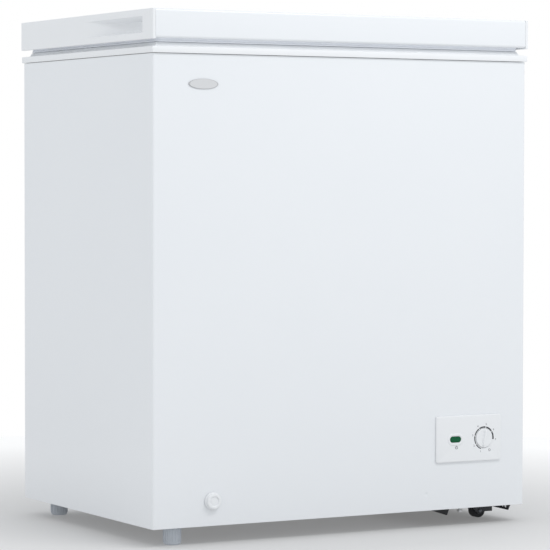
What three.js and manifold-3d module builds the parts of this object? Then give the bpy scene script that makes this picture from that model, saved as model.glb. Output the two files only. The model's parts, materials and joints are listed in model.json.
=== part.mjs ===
// A compact white chest freezer: foam-filled steel cabinet, spring-hinged lid, storage basket,
// thermostat panel, defrost drain, levelling feet on the left and rollers under the compressor end.
// Millimetres, +Z up. The origin is on the floor under the middle of the freezer, and the front faces -Y.
import * as THREE from 'three';
import { mergeVertices } from 'three/addons/utils/BufferGeometryUtils.js';
import Module from 'manifold-3d';

const wasm = await Module();
wasm.setup();

// ---------------------------------------------------------------- driving dimensions

const CABINET_WIDTH = 692;
const CABINET_DEPTH = 486;
const TOTAL_HEIGHT = 834;
const FLOOR_CLEARANCE = 29; // height of the feet
const FRONT_REACH = 8; // how far the thermostat knob and drain dial stand out in front
const BACK_REACH = 22; // how far the hinges stand out behind
const SHEET = 0.8; // steel sheet
const GAP = 0.3; // running clearance between pieces that only touch
const WALL = 50; // insulation thickness
const LID_HEIGHT = 47;

const LEFT = -CABINET_WIDTH / 2;
const RIGHT = CABINET_WIDTH / 2;
const FRONT = -(FRONT_REACH + CABINET_DEPTH + BACK_REACH) / 2 + FRONT_REACH;
const BACK = FRONT + CABINET_DEPTH;
const BOTTOM = FLOOR_CLEARANCE;
const TOP = TOTAL_HEIGHT;

// lid and the rim that it closes on
const LID_OVER_SIDE = 2.5;
const LID_OVER_FRONT = 5;
const LID_RIGHT = RIGHT + LID_OVER_SIDE;
const LID_FRONT = FRONT - LID_OVER_FRONT;
const LID_BACK = BACK + LID_OVER_FRONT;
const LID_SKIRT = TOP - 45.2; // lower edge of the steel skirt
const LID_CAP_BOTTOM = TOP - LID_HEIGHT;
const CAP_WIDTH = 5.5; // how far an end cap shows round the corner
const RIM_TOP = TOP - 51; // sealing face of the top collar
const RIM_BAND_TOP = RIM_TOP - 7;
const RIM_BAND_BOTTOM = RIM_BAND_TOP - 10;
const SHELL_TOP = RIM_BAND_BOTTOM - 0.7;

// storage space
const TUB = { right: RIGHT - WALL, front: FRONT + WALL, back: BACK - WALL, floor: BOTTOM + WALL + 1 };
const TUB_CORNER = 20;
const LINER = 1;
const LINER_TOP = RIM_BAND_BOTTOM - 0.7;

// compressor space, under a step at the right-hand end
const STEP_LEFT = RIGHT - 185; // left side of the compressor space
const STEP_TOP = BOTTOM + 205;
const TUB_STEP_LEFT = STEP_LEFT - WALL;
const TUB_STEP_TOP = STEP_TOP + WALL;

// hinge line, behind the lid
const HINGE = { y: BACK + 14, z: RIM_TOP + 2, x: 230, half: 30, leaf: 2, drop: 82 };

// ---------------------------------------------------------------- shapes and booleans

// A closed geometry as a solid that can be cut and joined.
function solid(geometry) {
  const bare = geometry.clone();
  bare.deleteAttribute('normal');
  bare.deleteAttribute('uv');
  const merged = mergeVertices(bare, 1e-4);
  const index = [...merged.index.array];
  const faces = [];
  for (let i = 0; i < index.length; i += 3) {
    const [a, b, c] = index.slice(i, i + 3);
    if (a !== b && b !== c && c !== a) faces.push(a, b, c); // a lathe's poles have flat faces
  }
  return new wasm.Manifold(
    new wasm.Mesh({
      numProp: 3,
      vertProperties: merged.attributes.position.array,
      triVerts: new Uint32Array(faces),
    }),
  );
}

const join = (...pieces) => pieces.map(solidOf).reduce((a, b) => a.add(b));
const cut = (from, ...tools) => tools.map(solidOf).reduce((a, b) => a.subtract(b), solidOf(from));
const common = (...pieces) => pieces.map(solidOf).reduce((a, b) => a.intersect(b));
const solidOf = (piece) => (piece.isBufferGeometry ? solid(piece) : piece);

function geometryOf(made) {
  const mesh = made.getMesh();
  return new THREE.BufferGeometry()
    .setAttribute('position', new THREE.BufferAttribute(mesh.vertProperties, 3))
    .setIndex(new THREE.BufferAttribute(mesh.triVerts, 1));
}

function span(x0, x1, y0, y1, z0, z1) {
  return new THREE.BoxGeometry(x1 - x0, y1 - y0, z1 - z0).translate(
    (x0 + x1) / 2, (y0 + y1) / 2, (z0 + z1) / 2);
}

// A rectangle with rounded corners, in the shape's own plane.
function roundedRect(x0, x1, y0, y1, r) {
  const s = new THREE.Shape();
  s.moveTo(x0 + r, y0);
  s.lineTo(x1 - r, y0);
  s.absarc(x1 - r, y0 + r, r, -Math.PI / 2, 0);
  s.lineTo(x1, y1 - r);
  s.absarc(x1 - r, y1 - r, r, 0, Math.PI / 2);
  s.lineTo(x0 + r, y1);
  s.absarc(x0 + r, y1 - r, r, Math.PI / 2, Math.PI);
  s.lineTo(x0, y0 + r);
  s.absarc(x0 + r, y0 + r, r, Math.PI, 1.5 * Math.PI);
  return s;
}

const polygon = (points) => new THREE.Shape(points.map(([x, y]) => new THREE.Vector2(x, y)));

function extruded(shape, depth, curveSegments = 4) {
  return new THREE.ExtrudeGeometry(shape, { depth, bevelEnabled: false, curveSegments });
}

// Extrusions of a shape drawn in (x, y), in (x, z) and in (y, z).
const alongZ = (shape, z0, z1, curves) => extruded(shape, z1 - z0, curves).translate(0, 0, z0);
const alongY = (shape, y0, y1, curves) =>
  extruded(shape, y1 - y0, curves).rotateX(Math.PI / 2).translate(0, y1, 0);
const YZ_TO_WORLD = new THREE.Matrix4().makeBasis(
  new THREE.Vector3(0, 1, 0), new THREE.Vector3(0, 0, 1), new THREE.Vector3(1, 0, 0));
const alongX = (shape, x0, x1, curves) =>
  extruded(shape, x1 - x0, curves).applyMatrix4(YZ_TO_WORLD).translate(x0, 0, 0);

const rod = (radius, length, sides) => new THREE.CylinderGeometry(radius, radius, length, sides);
const rodX = (r, x0, x1, y = 0, z = 0, sides = 16) =>
  rod(r, x1 - x0, sides).rotateZ(Math.PI / 2).translate((x0 + x1) / 2, y, z);
const rodY = (r, y0, y1, x = 0, z = 0, sides = 16) =>
  rod(r, y1 - y0, sides).translate(x, (y0 + y1) / 2, z);
const rodZ = (r, z0, z1, x = 0, y = 0, sides = 16) =>
  rod(r, z1 - z0, sides).rotateX(Math.PI / 2).translate(x, y, (z0 + z1) / 2);

// A turned piece about Z, from (radius, height) points that run up the outside.
function turned(points, sides = 24) {
  return new THREE.LatheGeometry(points.map(([r, z]) => new THREE.Vector2(r, z)), sides)
    .rotateX(Math.PI / 2);
}

// A bent tube follows its points one step at a time.
class BentTubeLine extends THREE.Curve {
  constructor(points) {
    super();
    this.points = points;
  }
  getPoint(t, target = new THREE.Vector3()) {
    const place = t * (this.points.length - 1);
    const i = Math.min(Math.floor(place), this.points.length - 2);
    return target.lerpVectors(this.points[i], this.points[i + 1], place - i);
  }
  getUtoTmapping(u) {
    return u;
  }
}

function bentTube(points, radius, sides = 6) {
  const line = new BentTubeLine(points);
  const section = new THREE.Shape();
  section.absarc(0, 0, radius, 0, 2 * Math.PI);
  return new THREE.ExtrudeGeometry(section, {
    steps: points.length - 1, extrudePath: line, curveSegments: sides / 2, bevelEnabled: false,
  });
}

const vector = ([x, y, z]) => new THREE.Vector3(x, y, z);

// Softens the corners of a route: each inner point becomes a short arc of three points.
function softened(route, radius) {
  const points = route.map(vector);
  const out = [points[0]];
  for (let i = 1; i < points.length - 1; i++) {
    const back = points[i - 1].clone().sub(points[i]).setLength(radius);
    const ahead = points[i + 1].clone().sub(points[i]).setLength(radius);
    const a = points[i].clone().add(back);
    const b = points[i].clone().add(ahead);
    const bend = new THREE.QuadraticBezierCurve3(a, points[i], b);
    out.push(a, bend.getPoint(1 / 3), bend.getPoint(2 / 3), b);
  }
  out.push(points[points.length - 1]);
  return out;
}

// ---------------------------------------------------------------- materials

const finish = (color, roughness, metalness = 0) => ({ color, roughness, metalness });
const PAINTED = finish(0xeef0f2, 0.32);
const PLASTIC = finish(0xf1f2f4, 0.42);
const LINER_WHITE = finish(0xf4f5f6, 0.38);
const GASKET = finish(0xc9ccd1, 0.65);
const GALVANISED = finish(0xa9adb2, 0.42, 0.9);
const BLACK_STEEL = finish(0x15171b, 0.5, 0.2);
const BLACK_RUBBER = finish(0x101114, 0.8);
const BLACK_PLASTIC = finish(0x1b1c1f, 0.55);
const COPPER = finish(0xb5693f, 0.35, 1);
const FOOT_GREY = finish(0xc3c8ce, 0.5);
const FOAM = finish(0xe6d9a8, 0.9);
const GREEN_LENS = finish(0x0d5a36, 0.2);
const SILVER = finish(0xc6c9cd, 0.35, 0.7);
const WIRE_WHITE = finish(0xf3f4f5, 0.45);

const freezer = new THREE.Group();

function add(parent, name, made, look, place = [0, 0, 0]) {
  const geometry = geometryOf(solidOf(made));
  const mesh = new THREE.Mesh(geometry, new THREE.MeshStandardMaterial(look));
  mesh.name = name;
  mesh.position.set(...place);
  parent.add(mesh);
}

function group(parent, place = [0, 0, 0]) {
  const made = new THREE.Group();
  made.position.set(...place);
  parent.add(made);
  return made;
}

// ---------------------------------------------------------------- cabinet

const cabinet = group(freezer);

const CONTROL = { x0: LEFT + 517.3, x1: LEFT + 644.4, z0: BOTTOM + 77, z1: BOTTOM + 153.8 };
const CONTROL_RIM = 6; // the panel overlaps its window by this much
const KNOB = { x: LEFT + 610.6, z: BOTTOM + 114.8, radius: 15.8 };
const THERMOSTAT = { half: 23, tall: 40, y0: 8, y1: 42 }; // behind the knob
const LAMP = { x: LEFT + 554.8, z: BOTTOM + 114.6, width: 21, height: 9.6 };
const DRAIN = { x: LEFT + 104.4, z: BOTTOM + 39.2, radius: 14 };
const DRAIN_HOLE = { y: TUB.front + 27, radius: 8 }; // in the floor of the tub
const FOOT = { x: LEFT + 50, inset: 32, radius: 14.5 };
const FOOT_PLACES = [FRONT + FOOT.inset, BACK - FOOT.inset];

// Whatever lies inside the steel wrap stays clear of it, round its corners too.
const CORNER = 3.5;
const wrapPlan = (inset) => roundedRect(LEFT + inset, RIGHT - inset, FRONT + inset, BACK - inset,
  Math.max(CORNER - inset, 0.5));
const insideWrap = (made) => common(made, alongZ(wrapPlan(SHEET + GAP), 0, TOP));

function outerShell() {
  const HEM = 9; // bottom flange
  const RETURN = 12; // rear return flange
  const window = CONTROL_RIM;
  return cut(
    alongZ(wrapPlan(0), BOTTOM, SHELL_TOP),
    alongZ(wrapPlan(SHEET), BOTTOM + SHEET, SHELL_TOP + 1),
    span(LEFT + HEM, RIGHT - HEM, FRONT + HEM, BACK + 1, BOTTOM - 1, BOTTOM + 2),
    span(LEFT + RETURN, RIGHT - RETURN, BACK - HEM, BACK + 1, BOTTOM - 1, SHELL_TOP + 1),
    span(CONTROL.x0 + window, CONTROL.x1 - window, FRONT - 1, FRONT + 2,
      CONTROL.z0 + window, CONTROL.z1 - window),
    rodY(10.5, FRONT - 1, FRONT + 2, DRAIN.x, DRAIN.z),
  );
}

const COVER = { x0: STEP_LEFT + 7, x1: RIGHT - 6, z0: BOTTOM + 7, z1: STEP_TOP - 3,
  flange: 14, depth: 12 };
const COVER_SCREWS = [[COVER.x0 + 6, COVER.z0 + 6], [COVER.x1 - 10, COVER.z0 + 6],
  [COVER.x0 + 6, COVER.z1 - 6], [COVER.x1 - 10, COVER.z1 - 6]];

function backPanel() {
  const edge = SHEET + GAP;
  const y = BACK - edge;
  return cut(
    insideWrap(span(LEFT + edge, RIGHT - edge, y - SHEET, y, BOTTOM + edge, SHELL_TOP - 0.5)),
    span(COVER.x0 + COVER.flange + 2, COVER.x1 - COVER.flange - 2, y - 2, y + 1,
      COVER.z0 + COVER.flange + 2, COVER.z1 - COVER.flange - 2),
    ...COVER_SCREWS.map(([x, z]) => rodY(2.6, y - 2, y + 1, x, z, 8)),
  );
}

// The base is one sheet that steps up over the compressor space.
function baseStepPlate() {
  const low = BOTTOM + SHEET + GAP;
  const edge = SHEET + GAP;
  const profile = polygon([
    [LEFT + edge, low], [STEP_LEFT + SHEET, low], [STEP_LEFT + SHEET, STEP_TOP - SHEET],
    [RIGHT - edge, STEP_TOP - SHEET], [RIGHT - edge, STEP_TOP], [STEP_LEFT, STEP_TOP],
    [STEP_LEFT, low + SHEET], [LEFT + edge, low + SHEET],
  ]);
  return cut(
    insideWrap(alongY(profile, FRONT + edge, BACK - 2 * edge)),
    ...FOOT_PLACES.map((y) => rodZ(4.8, BOTTOM - 1, BOTTOM + 4, FOOT.x, y)),
  );
}

// The storage space, grown outwards by some distance, up to a height.
function tub(grow, top) {
  const profile = polygon([
    [-TUB.right - grow, TUB.floor - grow], [TUB_STEP_LEFT + grow, TUB.floor - grow],
    [TUB_STEP_LEFT + grow, TUB_STEP_TOP - grow], [TUB.right + grow, TUB_STEP_TOP - grow],
    [TUB.right + grow, top], [-TUB.right - grow, top],
  ]);
  const plan = roundedRect(-TUB.right - grow, TUB.right + grow, TUB.front - grow, TUB.back + grow,
    TUB_CORNER + grow);
  return common(
    alongY(profile, TUB.front - grow - 1, TUB.back + grow + 1),
    alongZ(plan, BOTTOM, top + 1),
  );
}

const COIL = { bottom: TUB_STEP_TOP + 24, pitch: 66, turns: 5, radius: 3.5, off: 6 };
const COIL_BAND = { z0: COIL.bottom - 12, z1: COIL.bottom + COIL.pitch * COIL.turns + 12, deep: 12 };
const SKIN_COIL = { y0: FRONT + 60, pitch: 72, runs: 6, z0: BOTTOM + 70, z1: SHELL_TOP - 80, deep: 8 };

function insulationFoam() {
  const edge = SHEET + GAP;
  const low = BOTTOM + 2 * edge;
  const top = LINER_TOP - LINER - GAP;
  const profile = polygon([
    [LEFT + edge, low], [STEP_LEFT - GAP, low], [STEP_LEFT - GAP, STEP_TOP + GAP],
    [RIGHT - edge, STEP_TOP + GAP], [RIGHT - edge, top], [LEFT + edge, top],
  ]);
  const band = COIL_BAND.deep;
  return cut(
    insideWrap(alongY(profile, FRONT + edge, BACK - 2 * edge)),
    tub(LINER + GAP, top + 5),
    alongZ(roundedRect(-TUB.right - band, TUB.right + band, TUB.front - band, TUB.back + band,
      TUB_CORNER + band), COIL_BAND.z0, COIL_BAND.z1),
    span(LEFT - 1, LEFT + edge + SKIN_COIL.deep, SKIN_COIL.y0 - 20,
      SKIN_COIL.y0 + SKIN_COIL.pitch * (SKIN_COIL.runs - 1) + 20, SKIN_COIL.z0 - 40, SKIN_COIL.z1 + 40),
    span(DRAIN.x - 13, DRAIN.x + 13, FRONT - 1, TUB.front + 45, DRAIN.z - 12, TUB.floor),
    ...FOOT_PLACES.map((y) => rodZ(7, BOTTOM, BOTTOM + 26, FOOT.x, y, 12)),
  );
}

function innerLiner() {
  const FLANGE = 12;
  const rim = alongZ(roundedRect(-TUB.right - FLANGE, TUB.right + FLANGE, TUB.front - FLANGE,
    TUB.back + FLANGE, TUB_CORNER + FLANGE), LINER_TOP - LINER, LINER_TOP);
  return cut(join(tub(LINER, LINER_TOP), rim), tub(0, LINER_TOP + 5),
    rodZ(DRAIN_HOLE.radius, TUB.floor - 5, TUB.floor + 5, DRAIN.x, DRAIN_HOLE.y));
}

const LEDGE = { z: RIM_TOP - 14, wide: 8 }; // rail that the basket slides on

// The plastic rim: a flat band outside, a flat step, and a sloping rise to the face for the seal.
function topCollar() {
  const OVER = 2;
  const FRONT_OVER = 3.5;
  const STEP = 10; // width of the flat step
  const SLOPE = 4; // how far the rise leans in
  const plan = (inset, r) => roundedRect(LEFT - OVER + inset, RIGHT + OVER - inset,
    FRONT - FRONT_OVER + inset, BACK + FRONT_OVER - inset, r);
  const straight = 5;
  const rise = new THREE.ExtrudeGeometry(plan(STEP + SLOPE, 1), {
    depth: straight, bevelEnabled: true, bevelSize: SLOPE, bevelThickness: RIM_TOP - RIM_BAND_TOP,
    bevelSegments: 1, curveSegments: 2,
  }).translate(0, 0, RIM_BAND_TOP - straight);
  const top = alongZ(plan(STEP, 1), RIM_BAND_BOTTOM, TOP);
  const rail = TUB.right - 4;
  return cut(
    join(alongZ(plan(0, 1.5), RIM_BAND_BOTTOM, RIM_BAND_TOP), common(rise, top)),
    alongZ(roundedRect(-TUB.right, TUB.right, TUB.front, TUB.back, TUB_CORNER), 0, TOP),
    span(-rail, rail, TUB.front - LEDGE.wide, TUB.back + LEDGE.wide, LEDGE.z, RIM_TOP + 1),
  );
}

function evaporatorCoil() {
  const grow = LINER + COIL.off;
  const x = TUB.right + grow;
  const y0 = TUB.front - grow;
  const y1 = TUB.back + grow;
  const r = TUB_CORNER + grow;
  const corners = [[-x + r, y0 + r, Math.PI], [x - r, y0 + r, 1.5 * Math.PI],
    [x - r, y1 - r, 0], [-x + r, y1 - r, Math.PI / 2]];
  const points = [];
  const BENDS = [0, 0.5, 1];
  for (let turn = 0; turn < COIL.turns; turn++) {
    corners.forEach(([cx, cy, start], side) => {
      const z = COIL.bottom + COIL.pitch * (turn + side / 4);
      for (const t of BENDS) {
        const a = start + (t * Math.PI) / 2;
        points.push(vector([cx + r * Math.cos(a), cy + r * Math.sin(a), z]));
      }
    });
  }
  return bentTube(points, COIL.radius);
}

function condenserCoil() {
  const x = LEFT + SHEET + GAP + SKIN_COIL.deep / 2;
  const route = [];
  for (let run = 0; run < SKIN_COIL.runs; run++) {
    const y = SKIN_COIL.y0 + SKIN_COIL.pitch * run;
    const ends = [[x, y, SKIN_COIL.z0], [x, y, SKIN_COIL.z1]];
    route.push(...(run % 2 ? ends.reverse() : ends));
  }
  return bentTube(softened(route, 22), 2.5);
}

add(cabinet, 'outer_shell', outerShell(), PAINTED);
add(cabinet, 'back_panel', backPanel(), PAINTED);
add(cabinet, 'base_step_plate', baseStepPlate(), GALVANISED);
add(cabinet, 'insulation_foam', insulationFoam(), FOAM);
add(cabinet, 'inner_liner', innerLiner(), LINER_WHITE);
add(cabinet, 'top_collar', topCollar(), PLASTIC);
add(cabinet, 'evaporator_coil', evaporatorCoil(), COPPER);
add(cabinet, 'condenser_coil', condenserCoil(), COPPER);

// ---------------------------------------------------------------- badge, controls and drain

function badgePlate() {
  const ellipse = new THREE.Shape();
  ellipse.absellipse(LEFT + 88, BOTTOM + 690, 26, 8, 0, 2 * Math.PI);
  return alongY(ellipse, FRONT - 1.6, FRONT - GAP, 16);
}

const PANEL_FACE = FRONT - 3.5;
const KNOB_WELL = 1.8;
const KNOB_ROOM = 0.6;
const KNOB_SHAFT = 3;

function controlPanel() {
  const { x0, x1, z0, z1 } = CONTROL;
  const BEVEL = 2;
  const bevelThickness = 1.6;
  const depth = 6;
  const plate = new THREE.ExtrudeGeometry(
    roundedRect(x0 + BEVEL, x1 - BEVEL, z0 + BEVEL, z1 - BEVEL, 1.5),
    { depth, bevelEnabled: true, bevelSize: BEVEL, bevelThickness, bevelSegments: 2, curveSegments: 2 },
  ).rotateX(Math.PI / 2).translate(0, PANEL_FACE + bevelThickness + depth, 0);
  const cover = common(plate, span(x0, x1, PANEL_FACE - 1, FRONT - GAP, z0, z1));
  const inset = CONTROL_RIM + GAP;
  const WALL_THICK = 1.6;
  const rim = cut(
    span(x0 + inset, x1 - inset, FRONT - 1, FRONT + 7, z0 + inset, z1 - inset),
    span(x0 + inset + WALL_THICK, x1 - inset - WALL_THICK, FRONT - GAP, FRONT + 8,
      z0 + inset + WALL_THICK, z1 - inset - WALL_THICK),
  );
  const slot = roundedRect(LAMP.x - LAMP.width / 2 - GAP, LAMP.x + LAMP.width / 2 + GAP,
    LAMP.z - LAMP.height / 2 - GAP, LAMP.z + LAMP.height / 2 + GAP, LAMP.height / 2);
  return cut(
    join(cover, rim),
    rodY(KNOB.radius + KNOB_ROOM, PANEL_FACE - 1, PANEL_FACE + KNOB_WELL, KNOB.x, KNOB.z, 40),
    rodY(KNOB_SHAFT + 1, FRONT - 5, FRONT + 2, KNOB.x, KNOB.z),
    alongY(slot, FRONT - 5, FRONT + 2),
  );
}

function lampLens() {
  const inset = 0.2;
  const slot = roundedRect(LAMP.x - LAMP.width / 2 + inset, LAMP.x + LAMP.width / 2 - inset,
    LAMP.z - LAMP.height / 2 + inset, LAMP.z + LAMP.height / 2 - inset, LAMP.height / 2 - inset);
  return alongY(slot, PANEL_FACE - 0.8, FRONT + 6);
}

// The knob turns about its own shaft, which runs back into the thermostat.
function thermostatKnob() {
  const disc = rodY(KNOB.radius, PANEL_FACE - 1.6, PANEL_FACE + KNOB_WELL - GAP, 0, 0, 40);
  const grip = span(-2, 2, FRONT - FRONT_REACH, PANEL_FACE, -KNOB.radius + 2, KNOB.radius - 1);
  const shaft = rodY(KNOB_SHAFT, PANEL_FACE, FRONT + THERMOSTAT.y0 - GAP);
  const REST = THREE.MathUtils.degToRad(10);
  return join(disc, grip, shaft).rotate([0, THREE.MathUtils.radToDeg(REST), 0]);
}

function drainPipe() {
  const y1 = DRAIN_HOLE.y + 13;
  const spigot = DRAIN_HOLE.y;
  return cut(
    join(rodY(9.5, FRONT + 1.1, y1), rodZ(8.5, 0, TUB.floor - LINER - GAP - DRAIN.z, 0, spigot)),
    rodY(7.7, FRONT, y1 - 2),
    rodZ(6, 0, 30, 0, spigot),
  );
}

function drainSpout() {
  const tube = cut(rodY(7.1, FRONT - 0.7, FRONT + 60), rodY(5.4, FRONT + 1.5, FRONT + 61));
  return join(tube, rodY(3.6, FRONT - 5, FRONT));
}

function drainDial() {
  const length = FRONT_REACH - 0.9;
  const cup = turned([[4.2, 0], [DRAIN.radius, 0], [DRAIN.radius, length - 1.5],
    [DRAIN.radius - 1.5, length], [8.6, length], [8.2, length - 1], [0, length - 1],
    [0, length - 2.6], [4.2, length - 2.6], [4.2, 0]], 24)
    .rotateX(Math.PI / 2).translate(0, FRONT - 0.9, 0);
  const outlet = rodZ(2, 6, DRAIN.radius + 1, 0, FRONT - 0.9 - 2.4, 8);
  return cut(cup, outlet);
}

function drainPlug() {
  return join(
    turned([[0, -2.8], [5.4, -2.8], [5.6, GAP], [13, GAP], [13, 3], [11.5, 4.5], [0, 4.5]], 28),
    span(-9, 9, -1.6, 1.6, 4, 12),
  );
}

add(cabinet, 'badge_plate', badgePlate(), SILVER);
add(cabinet, 'control_panel', controlPanel(), PLASTIC);
add(cabinet, 'lamp_lens', lampLens(), GREEN_LENS);
add(cabinet, 'thermostat_body',
  span(-THERMOSTAT.half, THERMOSTAT.half, FRONT + THERMOSTAT.y0, FRONT + THERMOSTAT.y1,
    -THERMOSTAT.tall / 2, THERMOSTAT.tall / 2), GALVANISED, [KNOB.x, 0, KNOB.z]);
add(freezer, 'thermostat_knob', thermostatKnob(), PLASTIC, [KNOB.x, 0, KNOB.z]);
add(cabinet, 'drain_pipe', drainPipe(), PLASTIC, [DRAIN.x, 0, DRAIN.z]);
add(freezer, 'drain_spout', drainSpout(), PLASTIC, [DRAIN.x, 0, DRAIN.z]);
add(freezer, 'drain_dial', drainDial(), PLASTIC, [DRAIN.x, 0, DRAIN.z]);
add(freezer, 'drain_plug', drainPlug(), PLASTIC, [DRAIN.x, DRAIN_HOLE.y, TUB.floor]);

// ---------------------------------------------------------------- compressor space

const TRAY = { x0: LEFT + 558, x1: LEFT + 682, y0: FRONT + 22, y1: BACK - 22,
  top: BOTTOM - GAP, thick: 1.8 };
const COMPRESSOR = { x: (TRAY.x0 + TRAY.x1) / 2, y: 80, z: BOTTOM + 2, half: 60, long: 1.32,
  height: 150 };
const SEAM = { z: 76, half: 3, out: 2.5 }; // where the can's two halves are welded
const RELAY = { half: 26, deep: 30, y: COMPRESSOR.y - (COMPRESSOR.half + SEAM.out) * COMPRESSOR.long - 1 };
const MOUNT = { x: 40, y: 92 }; // half the spacing of the rubber mounts
const FOUR_CORNERS = [[-1, -1], [1, -1], [1, 1], [-1, 1]];
const MOUNT_PLACES = FOUR_CORNERS.map(([sx, sy]) =>
  [COMPRESSOR.x + sx * MOUNT.x, COMPRESSOR.y + sy * MOUNT.y]);

function compressorTray() {
  const low = TRAY.top - TRAY.thick;
  const plate = span(TRAY.x0, TRAY.x1, TRAY.y0, TRAY.y1, low, TRAY.top);
  // Each side flange is deepest near the front, where its end is cut back at a slant.
  const flange = (deep, shallow) => polygon([
    [TRAY.y0, low + 0.5], [TRAY.y0 + 7, BOTTOM - deep], [TRAY.y0 + 110, BOTTOM - shallow],
    [TRAY.y1, BOTTOM - shallow], [TRAY.y1, low + 0.5],
  ]);
  return cut(
    join(plate, alongX(flange(14, 8), TRAY.x0, TRAY.x0 + TRAY.thick),
      alongX(flange(12.5, 10), TRAY.x1 - TRAY.thick, TRAY.x1)),
    ...MOUNT_PLACES.map(([x, y]) => rodZ(3.8, 0, BOTTOM + 1, x, y, 8)),
  );
}

function compressorCan() {
  const r = COMPRESSOR.half;
  const { z, half, out } = SEAM;
  const can = turned([[0, 0], [r - 16, 0], [r - 4, 8], [r, 30], [r, z - half], [r + out, z - half],
    [r + out, z + half], [r, z + half], [r, 112], [r - 6, 131], [r - 22, 145],
    [0, COMPRESSOR.height]], 20).scale(1, COMPRESSOR.long, 1);
  const foot = span(-MOUNT.x - 11, MOUNT.x + 11, -MOUNT.y - 11, MOUNT.y + 11, 8, 11);
  const holes = FOUR_CORNERS.map(([sx, sy]) =>
    rodZ(7.6, 0, 20, sx * MOUNT.x, sy * MOUNT.y, 12));
  return cut(join(foot, can), ...holes);
}

function grommet() {
  return cut(turned([[0, 0], [12, 0], [12, 6], [10.5, 9.5], [7, 9.5], [7, 15], [0, 15]], 12),
    rodZ(3.6, -1, 16, 0, 0, 8));
}

const BOLT_UP = 17.5;
function mountBolt() {
  return join(rodZ(3, -9, BOLT_UP, 0, 0, 8), rodZ(7, BOLT_UP - 2, BOLT_UP + 2, 0, 0, 6),
    rodZ(5.2, -8, -3.2, 0, 0, 6));
}

function filterDrier() {
  return turned([[0, 0], [2.6, 0], [2.6, 12], [9.5, 24], [9.5, 84], [2.2, 96], [2.2, 112], [0, 112]], 12);
}

function compressorCover() {
  const { x0, x1, z0, z1, flange, depth } = COVER;
  const y = BACK + GAP;
  const pan = { x0: x0 + flange, x1: x1 - flange, z0: z0 + flange, z1: z1 - flange };
  const ROWS = 7;
  const PITCH = (pan.z1 - pan.z0 - 44) / (ROWS - 1);
  const middle = (pan.x0 + pan.x1) / 2;
  const vents = [];
  for (let row = 0; row < ROWS; row++) {
    const z = pan.z0 + 32 + PITCH * row;
    vents.push(span(pan.x0 + 10, middle - 5, y + depth - 3, y + depth + 1, z - 3, z + 3),
      span(middle + 5, pan.x1 - 10, y + depth - 3, y + depth + 1, z - 3, z + 3));
  }
  return cut(
    join(span(x0, x1, y, y + 1, z0, z1), span(pan.x0, pan.x1, y, y + depth, pan.z0, pan.z1)),
    span(pan.x0 + 1.2, pan.x1 - 1.2, y - 1, y + depth - 1.2, pan.z0 + 1.2, pan.z1 - 1.2),
    rodY(7, y + depth - 3, y + depth + 1, GLAND.x, GLAND.z),
    ...vents,
    ...COVER_SCREWS.map(([sx, sz]) => rodY(2.6, y - 1, y + 2, sx, sz, 8)),
  );
}

const GLAND = { x: COVER.x1 - COVER.flange - 16, z: COVER.z0 + COVER.flange + 14 };

function cordGland() {
  const out = 3.5;
  return turned([[3.6, -4], [10, -4], [10, -1.5], [6.5, -1.5], [6.5, 0.3], [10, 0.3], [8.5, out],
    [3.6, out], [3.6, -4]], 14).rotateX(-Math.PI / 2);
}

function coverScrew() {
  return join(rodY(2, -5, 1, 0, 0, 8), rodY(3.8, 0, 2.2, 0, 0, 12));
}

// The tubes start beside the can's left side.
const PORT = { x: COMPRESSOR.x - COMPRESSOR.half, z: COMPRESSOR.z, clear: 1.5 };
const PIPES = {
  suction: { radius: 4, bend: 16, y: COMPRESSOR.y + 34, out: 26, y1: COMPRESSOR.y - 60,
    low: 60, high: 150, top: 170 },
  discharge: { radius: 3, bend: 14, y: COMPRESSOR.y, out: 40, y1: COMPRESSOR.y - 120,
    low: 46, high: 46, top: 46 },
};

function pipe({ radius, bend, y, out, y1, low, high, top }) {
  const x = PORT.x - out;
  const route = [[PORT.x - PORT.clear, y, PORT.z + low], [x, y, PORT.z + low]];
  if (high > low) route.push([x, y, PORT.z + high]);
  route.push([x, y1, PORT.z + top], [x, y1, STEP_TOP - 3]);
  return bentTube(softened(route, bend), radius, 8);
}

add(cabinet, 'compressor_tray', compressorTray(), BLACK_STEEL);
add(cabinet, 'compressor', compressorCan(), BLACK_STEEL, [COMPRESSOR.x, COMPRESSOR.y, COMPRESSOR.z]);
MOUNT_PLACES.forEach(([x, y], i) => {
  add(cabinet, `compressor_grommet_${i + 1}`, grommet(), BLACK_RUBBER, [x, y, BOTTOM]);
  add(cabinet, `compressor_bolt_${i + 1}`, mountBolt(), GALVANISED, [x, y, BOTTOM]);
});
add(cabinet, 'relay_cover',
  span(-RELAY.half, RELAY.half, -RELAY.deep, 0, -RELAY.deep, RELAY.deep), BLACK_PLASTIC,
  [COMPRESSOR.x, RELAY.y, COMPRESSOR.z + SEAM.z]);
add(cabinet, 'filter_drier', filterDrier(), COPPER, [STEP_LEFT + 22, BACK - 50, BOTTOM + 60]);
add(cabinet, 'suction_line', pipe(PIPES.suction), COPPER);
add(cabinet, 'discharge_line', pipe(PIPES.discharge), COPPER);
add(cabinet, 'compressor_cover', compressorCover(), GALVANISED);
add(cabinet, 'cord_gland', cordGland(), BLACK_RUBBER, [GLAND.x, BACK + COVER.depth, GLAND.z]);
COVER_SCREWS.forEach(([x, z], i) =>
  add(cabinet, `cover_screw_${i + 1}`, coverScrew(), GALVANISED, [x, BACK + GAP + 1 + GAP, z]));

// ---------------------------------------------------------------- feet and rollers

// Heights are from the floor. The stud screws up into the base of the cabinet.
function levellingFoot() {
  const r = FOOT.radius;
  const height = FLOOR_CLEARANCE - 0.6;
  return join(turned([[0, 0], [r - 3.5, 0], [r - 1, 1.5], [r, 4.5], [r, height], [0, height]], 24),
    rodZ(4, height - 1, height + 22, 0, 0, 12));
}

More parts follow.
